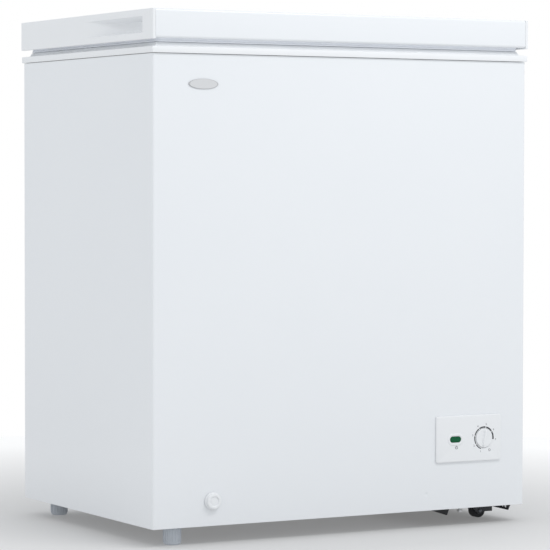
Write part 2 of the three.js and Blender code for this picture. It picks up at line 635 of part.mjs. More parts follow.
const ROLLER = { x: LEFT + 655, inset: 77, radius: 12, width: 16, axle: 2.2 };
const ROLLER_PLACES = [FRONT + ROLLER.inset + ROLLER.width / 2, BACK - ROLLER.inset - ROLLER.width / 2];

function roller() {
  const r = ROLLER.radius;
  const half = ROLLER.width / 2;
  const bore = ROLLER.axle + 0.4;
  return turned([[bore, -half], [r - 1, -half], [r, -half + 1], [r, half - 1], [r - 1, half],
    [bore, half], [bore, -half]], 28).rotateX(Math.PI / 2);
}

// A bent steel bracket: a top plate and two ears, each with a round lobe about the axle.
function rollerBracket() {
  const half = ROLLER.width / 2 + 0.6;
  const top = BOTTOM - GAP - TRAY.thick - GAP - ROLLER.radius;
  const EAR = 1.6;
  const right = TRAY.x1 - TRAY.thick - GAP - ROLLER.x;
  const ear = polygon([[-17, top], [-17, top - 3], [-8, -2], [right, -2], [right, top]]);
  const ears = [-1, 1].map((s) => {
    const [y0, y1] = [s * half, s * (half + EAR)].sort((a, b) => a - b);
    return cut(join(alongY(ear, y0, y1), rodY(6, y0, y1, 0, 0, 14)),
      rodY(ROLLER.axle + 0.35, y0 - 1, y1 + 1, 0, 0, 12));
  });
  return join(span(-17, right, -half - EAR, half + EAR, top - 1.2, top), ...ears);
}

function rollerAxle() {
  const end = ROLLER.width / 2 + 3.4;
  return join(rodY(ROLLER.axle, -end, end, 0, 0, 10), rodY(3.6, -end - 1.4, -end + 0.6, 0, 0, 10));
}

['front', 'rear'].forEach((where, i) => {
  add(freezer, `levelling_foot_${where}`, levellingFoot(), FOOT_GREY, [FOOT.x, FOOT_PLACES[i], 0]);
  const place = [ROLLER.x, ROLLER_PLACES[i], ROLLER.radius];
  add(freezer, `roller_${where}`, roller(), BLACK_RUBBER, place);
  add(cabinet, `roller_bracket_${where}`, rollerBracket(), BLACK_STEEL, place);
  add(cabinet, `roller_axle_${where}`, rollerAxle(), GALVANISED, place);
});

// ---------------------------------------------------------------- lid

const lid = group(freezer);
const CAP_INNER = LID_RIGHT - CAP_WIDTH;
const POCKET = { y0: FRONT + 30, y1: FRONT + 240, z0: TOP - 36.4, z1: TOP - 10.9, deep: 17 };
const HOUSING = { x: LID_RIGHT - POCKET.deep - 3, y0: POCKET.y0 - 4, y1: POCKET.y1 - 50,
  z0: POCKET.z0 - 2.5, z1: POCKET.z1 + 2.5 };
const PANEL_Z = LID_SKIRT + SHEET + GAP; // underside of the inner panel's flange
const PANEL_THICK = 1.5;
const PAD = { inset: 10, drop: RIM_TOP - 6, corner: 18 };

// Steel top, front and back in one sheet, open at both ends.
function lidShell() {
  const side = (inset, r, z0) => roundedRect(LID_FRONT + inset, LID_BACK - inset, z0, TOP - inset, r);
  const RETURN = 12;
  return cut(
    alongX(side(0, 4, LID_SKIRT), -CAP_INNER, CAP_INNER),
    alongX(side(SHEET, 4 - SHEET, LID_SKIRT + SHEET), -CAP_INNER - 1, CAP_INNER + 1),
    span(-CAP_INNER - 1, CAP_INNER + 1, LID_FRONT + RETURN, LID_BACK - RETURN,
      LID_SKIRT - 1, LID_SKIRT + 2),
  );
}

// The scooped grip: it starts flush towards the back and is deepest at its front end.
function pocketCut(side) {
  const x = (deep) => side * (LID_RIGHT - deep);
  const plan = new THREE.Shape();
  plan.moveTo(x(-2), POCKET.y1);
  plan.lineTo(x(0), POCKET.y1);
  plan.bezierCurveTo(x(1), POCKET.y1 - 55, x(POCKET.deep), POCKET.y1 - 70, x(POCKET.deep), POCKET.y1 - 150);
  plan.lineTo(x(POCKET.deep), POCKET.y0);
  plan.lineTo(x(-2), POCKET.y0);
  const section = polygon([[x(-2), POCKET.z0], [x(0), POCKET.z0], [x(POCKET.deep + 1), POCKET.z0 + 4],
    [x(POCKET.deep + 1), POCKET.z1 - 7], [x(0), POCKET.z1], [x(-2), POCKET.z1]]);
  return common(
    alongZ(plan, POCKET.z0 - 1, POCKET.z1 + 1, 10),
    alongY(section, POCKET.y0, POCKET.y1),
  );
}

function lidEndCap(side) {
  const [x0, x1] = [side * (CAP_INNER + GAP), side * LID_RIGHT].sort((a, b) => a - b);
  const plate = common(
    alongX(roundedRect(LID_FRONT, LID_BACK, LID_CAP_BOTTOM, TOP, 3), x0, x1),
    alongZ(roundedRect(-LID_RIGHT, LID_RIGHT, LID_FRONT, LID_BACK, CAP_WIDTH - GAP), 0, TOP + 1),
    alongY(roundedRect(-LID_RIGHT, LID_RIGHT, 0, TOP, 3), LID_FRONT - 1, LID_BACK + 1),
  );
  const [h0, h1] = [side * HOUSING.x, side * (CAP_INNER + 1)].sort((a, b) => a - b);
  const housing = span(h0, h1, HOUSING.y0, HOUSING.y1, HOUSING.z0, HOUSING.z1);
  return cut(join(plate, housing), pocketCut(side));
}

function padShape(inset) {
  return roundedRect(-TUB.right + PAD.inset + inset, TUB.right - PAD.inset - inset,
    TUB.front + PAD.inset + inset, TUB.back - PAD.inset - inset, PAD.corner - inset);
}

// The inner panel is one formed sheet whose middle drops into the opening of the cabinet.
function lidInnerPanel() {
  const edge = 4;
  const flange = span(-CAP_INNER + GAP, CAP_INNER - GAP, LID_FRONT + edge, LID_BACK - edge,
    PANEL_Z, PANEL_Z + PANEL_THICK);
  return cut(
    join(flange, alongZ(padShape(0), PAD.drop, PANEL_Z + PANEL_THICK)),
    alongZ(padShape(PANEL_THICK), PAD.drop + PANEL_THICK, PANEL_Z + PANEL_THICK + 1),
  );
}

function lidFoam() {
  const edge = SHEET + GAP;
  const TOP_ROOM = 3; // keeps the square slab inside the shell's rounded edge
  const z0 = PANEL_Z + PANEL_THICK + GAP;
  const slab = span(-CAP_INNER + GAP, CAP_INNER - GAP, LID_FRONT + edge, LID_BACK - edge, z0,
    TOP - edge - TOP_ROOM);
  const plug = alongZ(padShape(PANEL_THICK + GAP), PAD.drop + PANEL_THICK + GAP, z0 + 1);
  const rooms = [-1, 1].map((side) => {
    const [x0, x1] = [side * (HOUSING.x - GAP), side * (CAP_INNER + 1)].sort((a, b) => a - b);
    return span(x0, x1, HOUSING.y0 - GAP, HOUSING.y1 + GAP, HOUSING.z0 - GAP, HOUSING.z1 + GAP);
  });
  return cut(join(slab, plug), ...rooms);
}

function lidGasket() {
  const INSET = 12;
  const WIDE = 22;
  const ring = (inset, r) => roundedRect(-LID_RIGHT + inset, LID_RIGHT - inset, LID_FRONT + inset,
    LID_BACK - inset, r);
  return cut(alongZ(ring(INSET, 8), RIM_TOP + GAP, PANEL_Z - GAP),
    alongZ(ring(INSET + WIDE, 3), RIM_TOP - 1, PANEL_Z + 1));
}

add(lid, 'lid_shell', lidShell(), PAINTED);
add(lid, 'lid_end_cap_left', lidEndCap(-1), PLASTIC);
add(lid, 'lid_end_cap_right', lidEndCap(1), PLASTIC);
add(lid, 'lid_foam', lidFoam(), FOAM);
add(lid, 'lid_inner_panel', lidInnerPanel(), LINER_WHITE);
add(lid, 'lid_gasket', lidGasket(), GASKET);

// ---------------------------------------------------------------- hinges, drawn about the pin

const PIN_RADIUS = 3;
const PIN_ROOM = 3.45;
const KNUCKLE = { half: 7, radius: 6 };
const EAR = { x0: 18, x1: 20.5, round: 8 };

function hingeBase() {
  const face = BACK + GAP - HINGE.y;
  const low = -HINGE.drop;
  const high = SHELL_TOP - 0.5 - HINGE.z;
  const plate = span(-HINGE.half, HINGE.half, face, face + HINGE.leaf, low, high);
  const ear = new THREE.Shape();
  ear.moveTo(face + 1, low);
  ear.lineTo(face + 1, high);
  ear.lineTo(face + 3.6, RIM_BAND_BOTTOM - 0.5 - HINGE.z);
  ear.lineTo(-EAR.round, -5);
  ear.absarc(0, 0, EAR.round, Math.PI, 0, true);
  ear.lineTo(EAR.round, -32);
  ear.lineTo(-4, low);
  const ears = [-1, 1].map((s) => {
    const [x0, x1] = [s * EAR.x0, s * EAR.x1].sort((a, b) => a - b);
    return alongX(ear, x0, x1);
  });
  return cut(join(plate, ...ears), rodX(PIN_ROOM, -HINGE.half, HINGE.half));
}

function hingeArm() {
  const face = LID_BACK + GAP - HINGE.y;
  const leaf = span(-15, 15, face, face + HINGE.leaf, TOP - 42 - HINGE.z, TOP - 6 - HINGE.z);
  const { half, radius } = KNUCKLE;
  const knuckle = join(rodX(radius, -half, half, 0, 0, 20), span(-half, half, face, 0, 0, 2 * radius));
  return cut(join(leaf, knuckle), rodX(PIN_ROOM, -half - 1, half + 1));
}

function hingePin() {
  return join(rodX(PIN_RADIUS, -23.5, 23.5, 0, 0, 16), rodX(5, -25, -22, 0, 0, 16));
}

function hingeSpring() {
  const TURNS = 4;
  const STEPS = 8;
  const x0 = 8.6;
  const pitch = 2;
  const radius = 5;
  const points = [];
  for (let i = 0; i <= TURNS * STEPS; i++) {
    const a = (i / STEPS) * 2 * Math.PI;
    points.push(vector([x0 + (pitch * i) / STEPS, radius * Math.cos(a), radius * Math.sin(a)]));
  }
  return bentTube(points, 0.8, 4);
}

[['left', -1], ['right', 1]].forEach(([where, side]) => {
  const place = [side * HINGE.x, HINGE.y, HINGE.z];
  add(cabinet, `hinge_base_${where}`, hingeBase(), GALVANISED, place);
  add(lid, `hinge_arm_${where}`, hingeArm(), GALVANISED, place);
  add(cabinet, `hinge_pin_${where}`, hingePin(), GALVANISED, place);
  add(cabinet, `hinge_spring_${where}`, hingeSpring(), GALVANISED, place);
});

// ---------------------------------------------------------------- storage basket

const BASKET_ROOM = 8; // between the basket and the walls of the tub
const BASKET = { x0: 62, x1: TUB.right - BASKET_ROOM, y0: TUB.front + BASKET_ROOM,
  y1: TUB.back - BASKET_ROOM, deep: 190, wall: 2.5, taper: 12 };

// The outer form of the wire basket: open at the top, narrower at the floor, with a rim on both ledges.
function storageBasket() {
  const { x0, x1, y0, y1, deep, wall, taper } = BASKET;
  const rim = LEDGE.z + GAP;
  const form = (grow) => common(
    alongY(polygon([[x0 - grow, rim + 1], [x0 + taper - grow, rim - deep - grow],
      [x1 - taper + grow, rim - deep - grow], [x1 + grow, rim + 1]]), y0 - 9, y1 + 9),
    alongX(polygon([[y0 - grow, rim + 1], [y0 + taper - grow, rim - deep - grow],
      [y1 - taper + grow, rim - deep - grow], [y1 + grow, rim + 1]]), x0 - 9, x1 + 9),
  );
  const END_ROOM = 2; // the rim stops short of the collar
  const ledge = BASKET_ROOM + LEDGE.wide - END_ROOM;
  return cut(
    join(form(0), span(x0 - 3, x1 + 3, y0 - ledge, y1 + ledge, rim, rim + 4)),
    form(-wall),
    span(x0 + wall, x1 - wall, y0 + wall, y1 - wall, rim - 1, rim + 5),
  );
}

add(freezer, 'storage_basket', storageBasket(), WIRE_WHITE);

export default freezer;
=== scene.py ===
# %% [markdown]
# # A compact chest freezer
# A foam-filled steel cabinet stands on two ribbed feet and two rollers. A sprung lid closes on a
# plastic collar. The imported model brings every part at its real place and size, in metres, with +Z up
# and the front facing -Y. This script gives each part its finished shape and its surface.

# %% Load the frame
import json
import math

import bmesh
import bpy
import numpy as np
from mathutils import Matrix, Vector


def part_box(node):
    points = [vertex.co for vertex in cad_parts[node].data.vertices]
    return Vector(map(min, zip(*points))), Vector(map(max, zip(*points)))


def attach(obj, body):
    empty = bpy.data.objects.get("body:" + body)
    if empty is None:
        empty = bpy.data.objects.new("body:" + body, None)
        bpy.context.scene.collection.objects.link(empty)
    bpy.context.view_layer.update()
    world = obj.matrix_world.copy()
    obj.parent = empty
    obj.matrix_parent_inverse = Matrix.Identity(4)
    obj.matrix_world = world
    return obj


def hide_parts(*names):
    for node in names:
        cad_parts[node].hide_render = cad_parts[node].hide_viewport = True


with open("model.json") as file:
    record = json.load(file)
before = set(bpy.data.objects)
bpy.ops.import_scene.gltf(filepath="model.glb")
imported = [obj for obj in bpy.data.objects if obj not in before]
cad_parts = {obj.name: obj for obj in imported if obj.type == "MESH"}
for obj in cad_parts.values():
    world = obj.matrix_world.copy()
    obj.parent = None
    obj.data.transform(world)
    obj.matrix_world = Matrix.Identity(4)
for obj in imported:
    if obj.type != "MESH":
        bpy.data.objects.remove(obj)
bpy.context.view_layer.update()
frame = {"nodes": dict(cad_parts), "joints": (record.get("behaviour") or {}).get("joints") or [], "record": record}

MM = 0.001
MIDDLE_Y = sum(corner.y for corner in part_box("outer_shell")) / 2

# %% [markdown]
# ## Camera and light
# A long lens from far away keeps the freezer's verticals almost parallel, as in a catalogue view. The
# camera stands to the left of the front and a little over half way up the cabinet. The lens is worked
# out from how far the camera stands and how much of the scene the picture holds.

# %% Camera
CAMERA_TURN = math.radians(29.25)
CAMERA_TILT = math.radians(2.165)
CAMERA_ROLL = math.radians(0.08)
CAMERA_PLACE = Vector((-2.211, MIDDLE_Y - 3.959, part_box("outer_shell")[0].z + 0.552))
FRAME_WIDTH_AT_ONE_METRE = 550 / 2698.4

camera = bpy.data.objects.new("camera", bpy.data.cameras.new("camera"))
camera.data.sensor_width = 36
camera.data.lens = camera.data.sensor_width / FRAME_WIDTH_AT_ONE_METRE
camera.matrix_world = (
    Matrix.Translation(CAMERA_PLACE)
    @ Matrix.Rotation(-CAMERA_TURN, 4, "Z")
    @ Matrix.Rotation(math.radians(90) - CAMERA_TILT, 4, "X")
    @ Matrix.Rotation(CAMERA_ROLL, 4, "Z")
)
bpy.context.scene.collection.objects.link(camera)
bpy.context.scene.camera = camera
bpy.context.scene.view_settings.view_transform = "Standard"
print("lens", round(camera.data.lens, 1), "mm")

# %% [markdown]
# White enamel shows its form only by small steps of grey, so most of the light is the even glow of a
# pale room. One long lamp above the front, and a weaker one above the left side, let the walls fall off
# gently towards the floor. The camera sees the room as white, a little brighter than its light.

# %% Light
def soft_light(name, place, aim, size, power):
    light = bpy.data.objects.new(name, bpy.data.lights.new(name, "AREA"))
    light.data.shape = "RECTANGLE"
    light.data.size, light.data.size_y = size
    light.data.energy = power
    light.location = place
    light.rotation_euler = (Vector(aim) - Vector(place)).to_track_quat("-Z", "Y").to_euler()
    bpy.context.scene.collection.objects.link(light)


soft_light("front_light", (0.4, -1.6, 2.15), (0.0, -0.25, 0.75), (1.3, 0.4), 15.5)
soft_light("side_light", (-1.6, 0.1, 2.1), (-0.35, 0.0, 0.75), (1.4, 0.5), 4)

world = bpy.data.worlds.new("pale_room")
world.use_nodes = True
room = world.node_tree
seen, lit = room.nodes["Background"], room.nodes.new("ShaderNodeBackground")
ray, either = room.nodes.new("ShaderNodeLightPath"), room.nodes.new("ShaderNodeMixShader")
seen.inputs["Color"].default_value = (1.0, 1.0, 1.0, 1.0)
lit.inputs["Color"].default_value = (0.95, 0.975, 1.0, 1.0)
lit.inputs["Strength"].default_value = 0.78
room.links.new(ray.outputs["Is Camera Ray"], either.inputs[0])
room.links.new(lit.outputs[0], either.inputs[1])
room.links.new(seen.outputs[0], either.inputs[2])
room.links.new(either.outputs[0], room.nodes["World Output"].inputs["Surface"])
bpy.context.scene.world = world
print("lights placed")

# %% [markdown]
# ## Writing materials as sums
# A shader is a graph of nodes, but it reads better as arithmetic. Wire wraps one output of a node and
# turns +, - and * into Math nodes. Finish holds one material: its method node() adds any other node.

# %% Shader maths
class Wire:
    """One output of a shader node."""

    def __init__(self, finish, socket):
        self.finish, self.socket = finish, socket

    def maths(self, operation, first, second):
        return self.finish.node("ShaderNodeMath", {"operation": operation}, {0: first, 1: second})

    def __add__(self, other):
        return self.maths("ADD", self, other)

    def __sub__(self, other):
        return self.maths("SUBTRACT", self, other)

    def __rsub__(self, other):
        return self.maths("SUBTRACT", other, self)

    def __mul__(self, other):
        return self.maths("MULTIPLY", self, other)

    __radd__, __rmul__ = __add__, __mul__

    def power(self, other):
        return self.maths("POWER", self, other)


class Finish:
    """One material, with its Principled shader and a way to add nodes to it."""

    def __init__(self, name, color, roughness, metallic=0.0, **fixed):
        self.material = bpy.data.materials.new(name)
        self.material.use_nodes = True
        self.tree = self.material.node_tree
        self.shader = self.tree.nodes["Principled BSDF"]
        self.set("Base Color", color)
        self.set("Roughness", roughness)
        self.set("Metallic", metallic)
        for socket, value in fixed.items():
            self.set(socket.replace("_", " "), value)

    def connect(self, socket, value):
        if isinstance(value, Wire):
            self.tree.links.new(value.socket, socket)
        elif hasattr(value, "__len__") and socket.type == "RGBA" and len(value) == 3:
            socket.default_value = (*value, 1.0)
        else:
            socket.default_value = value

    def set(self, name, value):
        self.connect(self.shader.inputs[name], value)

    def node(self, kind, settings=None, inputs=None, out=0):
        made = self.tree.nodes.new(kind)
        for key, value in (settings or {}).items():
            setattr(made, key, value)
        for key, value in (inputs or {}).items():
            self.connect(made.inputs[key], value)
        return Wire(self, made.outputs[out])

    def place(self, axis=None):
        where = self.node("ShaderNodeTexCoord", out="Object")
        if axis is None:
            return where
        return self.node("ShaderNodeSeparateXYZ", None, {0: where}, out=axis)

    def stretched(self, factors):
        return self.node("ShaderNodeVectorMath", {"operation": "MULTIPLY"},
                         {0: self.place(), 1: factors})

    def noise(self, scale, detail, rough=0.5, vector=None):
        return self.node("ShaderNodeTexNoise", None,
                         {"Vector": vector or self.place(), "Scale": scale, "Detail": detail,
                          "Roughness": rough}, out="Fac")

    def cells(self, scale, feature="F1", out="Distance"):
        return self.node("ShaderNodeTexVoronoi", {"feature": feature},
                         {"Vector": self.place(), "Scale": scale}, out=out)

    def ramp(self, value, low, high, a=0.0, b=1.0):
        return self.node("ShaderNodeMapRange", None,
                         {"Value": value, "From Min": low, "From Max": high, "To Min": a, "To Max": b})

    def mix(self, factor, first, second):
        return self.node("ShaderNodeMix", {"data_type": "RGBA"},
                         {0: factor, 6: first, 7: second}, out=2)

    def bump(self, height, distance):
        self.set("Normal", self.node("ShaderNodeBump", None,
                                     {"Height": height, "Distance": distance, "Strength": 1.0}))

    def edges(self, reach):
        """1 on worn outside edges and 0 elsewhere."""
        inner = self.node("ShaderNodeBevel", {"samples": 4}, {"Radius": reach})
        face = self.node("ShaderNodeNewGeometry", out="Normal")
        turn = self.node("ShaderNodeVectorMath", {"operation": "DOT_PRODUCT"},
                         {0: inner, 1: face}, out="Value")
        return self.ramp(turn, 0.98, 0.86)


print("shader helpers ready")

# %% [markdown]
# ## The white finishes
# The cabinet is enamelled sheet steel. Enamel is glossy, and its surface carries a long, very shallow
# waviness called orange peel. A clear coat on the shader gives the gloss, and two sizes of noise feed
# a bump for the waviness. A whisper of dust makes the roughness uneven.

# %% Enamelled steel
WHITE = (0.845, 0.866, 0.89)
DENT = Vector((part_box("control_panel")[0].x - 0.0165, 0.0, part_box("outer_shell")[0].z + 0.027))


def enamelled_steel():
    paint = Finish("enamelled_steel", WHITE, 0.34, Coat_Weight=0.35, Coat_Roughness=0.12)
    peel = paint.noise(230, 2.0) * 0.6 + paint.noise(60, 1.0) * 0.4
    smudge = paint.noise(9, 3.0, 0.6)
    paint.set("Roughness", paint.ramp(smudge, 0.3, 0.75, 0.30, 0.40))
    paint.set("Base Color", paint.mix(smudge, (0.838, 0.86, 0.886), (0.852, 0.872, 0.894)))
    across = paint.place("X") - DENT.x
    up = paint.place("Z") - DENT.z
    dent = paint.ramp((across * across + up * up).power(0.5), 0.0, 0.0045, -1.0, 0.0)
    paint.bump(peel * 0.05 + dent, 0.0007)
    return paint.material


STEEL = enamelled_steel()
print("made", STEEL.name)

# %% [markdown]
# The collar, the lid's end caps, the panel and the knob are moulded. Moulded white plastic is a touch
# warmer and duller than enamel, and its tool leaves a fine grain that is even all over.

# %% Moulded plastic
def moulded(name, color, grain=900, depth=0.00004, roughness=(0.34, 0.46), tint=0.03):
    plastic = Finish(name, color, 0.4, Specular_IOR_Level=0.45)
    flow = plastic.noise(14, 2.0)
    darker = tuple(c * (1 - tint) for c in color)
    plastic.set("Base Color", plastic.mix(flow, darker, color))
    plastic.set("Roughness", plastic.ramp(flow, 0.3, 0.7, *roughness))
    plastic.bump(plastic.noise(grain, 2.0), depth)
    return plastic.material


PLASTIC = moulded("moulded_white", (0.872, 0.886, 0.902))
SPOUT_PLASTIC = moulded("spout_white", (0.85, 0.858, 0.868), roughness=(0.4, 0.5))
FOOT_PLASTIC = moulded("foot_grey", (0.60, 0.64, 0.69), grain=600, roughness=(0.38, 0.5), tint=0.06)
RELAY_PLASTIC = moulded("relay_black", (0.025, 0.025, 0.028), grain=500, roughness=(0.45, 0.6))
SEAL = moulded("lid_seal", (0.9, 0.92, 0.965), 420, 0.00006, (0.5, 0.64), tint=0.04)
WIRE_COAT = moulded("basket_coating", (0.86, 0.868, 0.88), grain=700, roughness=(0.3, 0.4))
print("made plastics")

# %% [markdown]
# The tub is thin aluminium with a pressed, pebbled surface that hides scratches. Cells of uneven size,
# raised by a bump, read as that embossing, and the white lacquer keeps a little sheen.

# %% Embossed liner
def embossed_liner():
    liner = Finish("embossed_liner", (0.87, 0.88, 0.892), 0.38, Coat_Weight=0.2, Coat_Roughness=0.25)
    pebble = liner.cells(240, "SMOOTH_F1")
    frost = liner.noise(6, 3.0, 0.6)
    liner.set("Roughness", liner.ramp(frost, 0.3, 0.7, 0.32, 0.46))
    liner.bump(liner.ramp(pebble, 0.1, 0.7, 1.0, 0.0), 0.00035)
    return liner.material


LINER = embossed_liner()
print("made", LINER.name)

# %% [markdown]
# ## Bare and dark metals
# Hinges, screws and the rear cover are zinc coated. Zinc freezes on steel in crystals, which show as
# patches of slightly different grey and gloss. Edges that rub are brighter.

# %% Metals
def zinc_coated(name="zinc_coated", tone=(0.56, 0.575, 0.59), crystal=130):
    zinc = Finish(name, tone, 0.36, 0.92)
    warped = zinc.noise(40, 2.0)
    patch = zinc.node("ShaderNodeSeparateColor", None, {0: zinc.cells(crystal, out="Color")}, out=0)
    level = patch * 0.55 + warped * 0.45
    zinc.set("Base Color", zinc.mix(level, tuple(c * 0.78 for c in tone), tuple(c * 1.15 for c in tone)))
    zinc.set("Roughness", zinc.ramp(level, 0.2, 0.8, 0.30, 0.48))
    zinc.bump(zinc.noise(500, 2.0), 0.00004)
    return zinc.material


def black_paint():
    paint = Finish("black_painted_steel", (0.018, 0.02, 0.026), 0.42, Coat_Weight=0.25, Coat_Roughness=0.3)
    dust = paint.ramp(paint.noise(30, 4.0, 0.65), 0.5, 0.85)
    worn = paint.edges(0.0008) * paint.ramp(paint.noise(160, 3.0), 0.45, 0.6)
    dusty = paint.mix(dust * 0.5, (0.016, 0.018, 0.024), (0.075, 0.078, 0.085))
    paint.set("Base Color", paint.mix(worn * 0.7, dusty, (0.34, 0.35, 0.37)))
    paint.set("Roughness", paint.ramp(dust, 0.0, 1.0, 0.36, 0.62))
    paint.bump(paint.noise(420, 2.0), 0.00008)
    return paint.material


def copper_tube():
    copper = Finish("copper_tube", (0.72, 0.35, 0.2), 0.3, 1.0)
    stain = copper.noise(55, 4.0, 0.6)
    dull = copper.ramp(stain, 0.4, 0.75)
    copper.set("Base Color", copper.mix(dull, (0.74, 0.37, 0.22), (0.26, 0.13, 0.08)))
    copper.set("Roughness", copper.ramp(stain, 0.3, 0.8, 0.24, 0.5))
    return copper.material


def black_rubber():
    rubber = Finish("black_rubber", (0.02, 0.021, 0.024), 0.72)
    dust = rubber.ramp(rubber.noise(70, 4.0, 0.6), 0.45, 0.8)
    rubber.set("Base Color", rubber.mix(dust, (0.014, 0.015, 0.018), (0.06, 0.062, 0.066)))
    rubber.set("Roughness", rubber.ramp(dust, 0.0, 1.0, 0.6, 0.85))
    rubber.bump(rubber.noise(600, 3.0), 0.00008)
    return rubber.material


ZINC, BLACK_STEEL, COPPER, RUBBER = zinc_coated(), black_paint(), copper_tube(), black_rubber()
BRIGHT_ZINC = zinc_coated("bright_zinc", (0.78, 0.79, 0.8), 300)
DARK_ZINC = zinc_coated("dark_zinc", (0.2, 0.21, 0.23), 300)
print("made metals and rubber")

# %% [markdown]
# ## Small finishes
# The foam is never seen, but it has its rigid, closed-cell look. The lamp's lens is clear green
# plastic. The badge is brushed, so its noise is drawn out along X, and a darker band of painted shade
# follows its oval edge, where the edge wall would fall into shade. The scale on the panel is dull printing ink.

# %% Foam, lens, badge and ink
def rigid_foam():
    foam = Finish("rigid_foam", (0.78, 0.68, 0.4), 0.9)
    cell = foam.cells(700)
    foam.set("Base Color", foam.mix(foam.noise(12, 3.0), (0.72, 0.6, 0.33), (0.82, 0.73, 0.46)))
    foam.bump(cell, 0.0003)
    return foam.material


def green_lens():
    lens = Finish("green_lens", (0.003, 0.1, 0.036), 0.3, Specular_IOR_Level=0.2)
    glow = lens.noise(260, 1.0)
    lens.set("Base Color", lens.mix(glow, (0.002, 0.075, 0.028), (0.004, 0.125, 0.046)))
    return lens.material


def brushed_badge():
    low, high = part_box("badge_plate")
    badge = Finish("brushed_badge", (0.68, 0.69, 0.7), 0.42, 0.1)
    brush = badge.noise(60, 3.0, 0.6, badge.stretched((2.0, 1.0, 60.0)))
    across = (badge.place("X") - (low.x + high.x) / 2) * (2 / (high.x - low.x))
    up = (badge.place("Z") - (low.z + high.z) / 2) * (2 / (high.z - low.z))
    # painted shade: a darker band along the oval edge stands in for the shade on the badge's edge wall
    border = badge.ramp((across * across + up * up).power(0.5), 0.9, 0.94)
    brushed = badge.mix(brush, (0.64, 0.645, 0.655), (0.72, 0.725, 0.735))
    badge.set("Base Color", badge.mix(border, brushed, (0.5, 0.505, 0.515)))
    badge.set("Roughness", badge.ramp(brush, 0.2, 0.8, 0.34, 0.5))
    return badge.material


def printing_ink(name="printing_ink", color=(0.02, 0.021, 0.026)):
    ink = Finish(name, color, 0.55)
    ink.set("Base Color", ink.mix(ink.noise(800, 2.0), color, tuple(c * 1.5 for c in color)))
    return ink.material


FOAM, LENS, BADGE, INK = rigid_foam(), green_lens(), brushed_badge(), printing_ink()
PALE_INK = printing_ink("pale_ink", (0.07, 0.072, 0.08))
print("made small finishes")

# %% [markdown]
# ## Making a piece
# Every finished piece is a plain mesh with its place in its points, which are written in millimetres.
# The helpers below make one, clean it, shade flat faces flat and curved ones smooth, and let it ride on
# the body of the node it replaces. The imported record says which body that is.

# %% Piece helpers
SLOTS = {"painted_steel": [STEEL], "white_plastic": [PLASTIC, SPOUT_PLASTIC], "foot_grey": [FOOT_PLASTIC],
         "black_plastic": [RELAY_PLASTIC, INK, PALE_INK], "seal_grey": [SEAL], "basket_wire": [WIRE_COAT],
         "liner_white": [LINER], "galvanised_steel": [ZINC, BRIGHT_ZINC, DARK_ZINC],
         "black_steel": [BLACK_STEEL], "copper": [COPPER], "black_rubber": [RUBBER], "foam": [FOAM],
         "green_lens": [LENS], "badge_silver": [BADGE]}
SLOT_OF = {material.name: slot for slot, materials in SLOTS.items() for material in materials}
BODY_OF = {node: body for body, nodes in frame["record"]["behaviour"]["bodies"].items() for node in nodes}


def box(node):
    """The corners of a node's box in millimetres."""
    low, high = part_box(node)
    return low / MM, high / MM


def settle(piece, material, *replaces, body=None):
    body, slot = body or BODY_OF[replaces[0]], SLOT_OF[material.name]
    piece.data.materials.clear()
    piece.data.materials.append(material)
    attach(piece, body)
    if replaces:
        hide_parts(*replaces)
    return piece


def rounded(piece, width, segments=2, angle=32):
    bevel = piece.modifiers.new("rounded_edges", "BEVEL")
    bevel.width, bevel.segments = width * MM, segments
    bevel.limit_method, bevel.angle_limit = "ANGLE", math.radians(angle)
    bevel.harden_normals = bevel.use_clamp_overlap = True
    bevel.miter_outer = "MITER_ARC"
    return piece


def placed(name, data):
    piece = bpy.data.objects.new(name, data)
    bpy.context.scene.collection.objects.link(piece)
    return piece


def shaded(mesh, smooth):
    mesh.shade_smooth()
    mesh.set_sharp_from_angle(angle=math.radians(smooth))


def baked(piece):
    """The mesh that a piece shows, with its modifiers applied."""
    return bpy.data.meshes.new_from_object(piece.evaluated_get(bpy.context.evaluated_depsgraph_get()))


def new_piece(name, points, faces, smooth=32):
    mesh = bpy.data.meshes.new(name)
    mesh.from_pydata([tuple(Vector(p) * MM) for p in points], [], faces)
    work = bmesh.new()
    work.from_mesh(mesh)
    bmesh.ops.remove_doubles(work, verts=work.verts, dist=1e-6)
    bmesh.ops.dissolve_degenerate(work, edges=work.edges, dist=1e-7)
    bmesh.ops.recalc_face_normals(work, faces=work.faces)
    work.to_mesh(mesh)
    work.free()
    shaded(mesh, smooth)
    return placed(name, mesh)


def joined(pieces, name):
    """Several pieces as one."""
    work = bmesh.new()
    for piece in pieces:
        part = baked(piece)
        part.transform(piece.matrix_world)
        work.from_mesh(part)
        bpy.data.meshes.remove(part)
    mesh = bpy.data.meshes.new(name)
    work.to_mesh(mesh)
    work.free()
    for piece in pieces:
        bpy.data.objects.remove(piece)
    shaded(mesh, 35)
    return placed(name, mesh)


print("piece helpers ready")

# %% [markdown]
# A loft skins a stack of outlines that have the same number of points. A turned form spins a profile. A
# pressed sheet has the right shape in the frame already, so a merged copy only needs rounded edges.

# %% Outlines, lofts and turned forms
def rect_outline(x0, x1, y0, y1, r, z, steps):
    """A rounded rectangle at height z, anticlockwise from its lower right corner."""
    points = []
    for cx, cy, start in ((x1 - r, y0 + r, -90), (x1 - r, y1 - r, 0), (x0 + r, y1 - r, 90),
                          (x0 + r, y0 + r, 180)):
        for i in range(steps + 1):
            a = math.radians(start + 90 * i / steps)
            points.append((cx + r * math.cos(a), cy + r * math.sin(a), z))
    return points


def skin(rows, count, closed):
    """Faces between neighbouring rows of points that each run once round."""
    faces = []
    for row in range(rows if closed else rows - 1):
        a, b = row * count, (row + 1) % rows * count
        faces += [(a + i, a + (i + 1) % count, b + (i + 1) % count, b + i) for i in range(count)]
    return faces


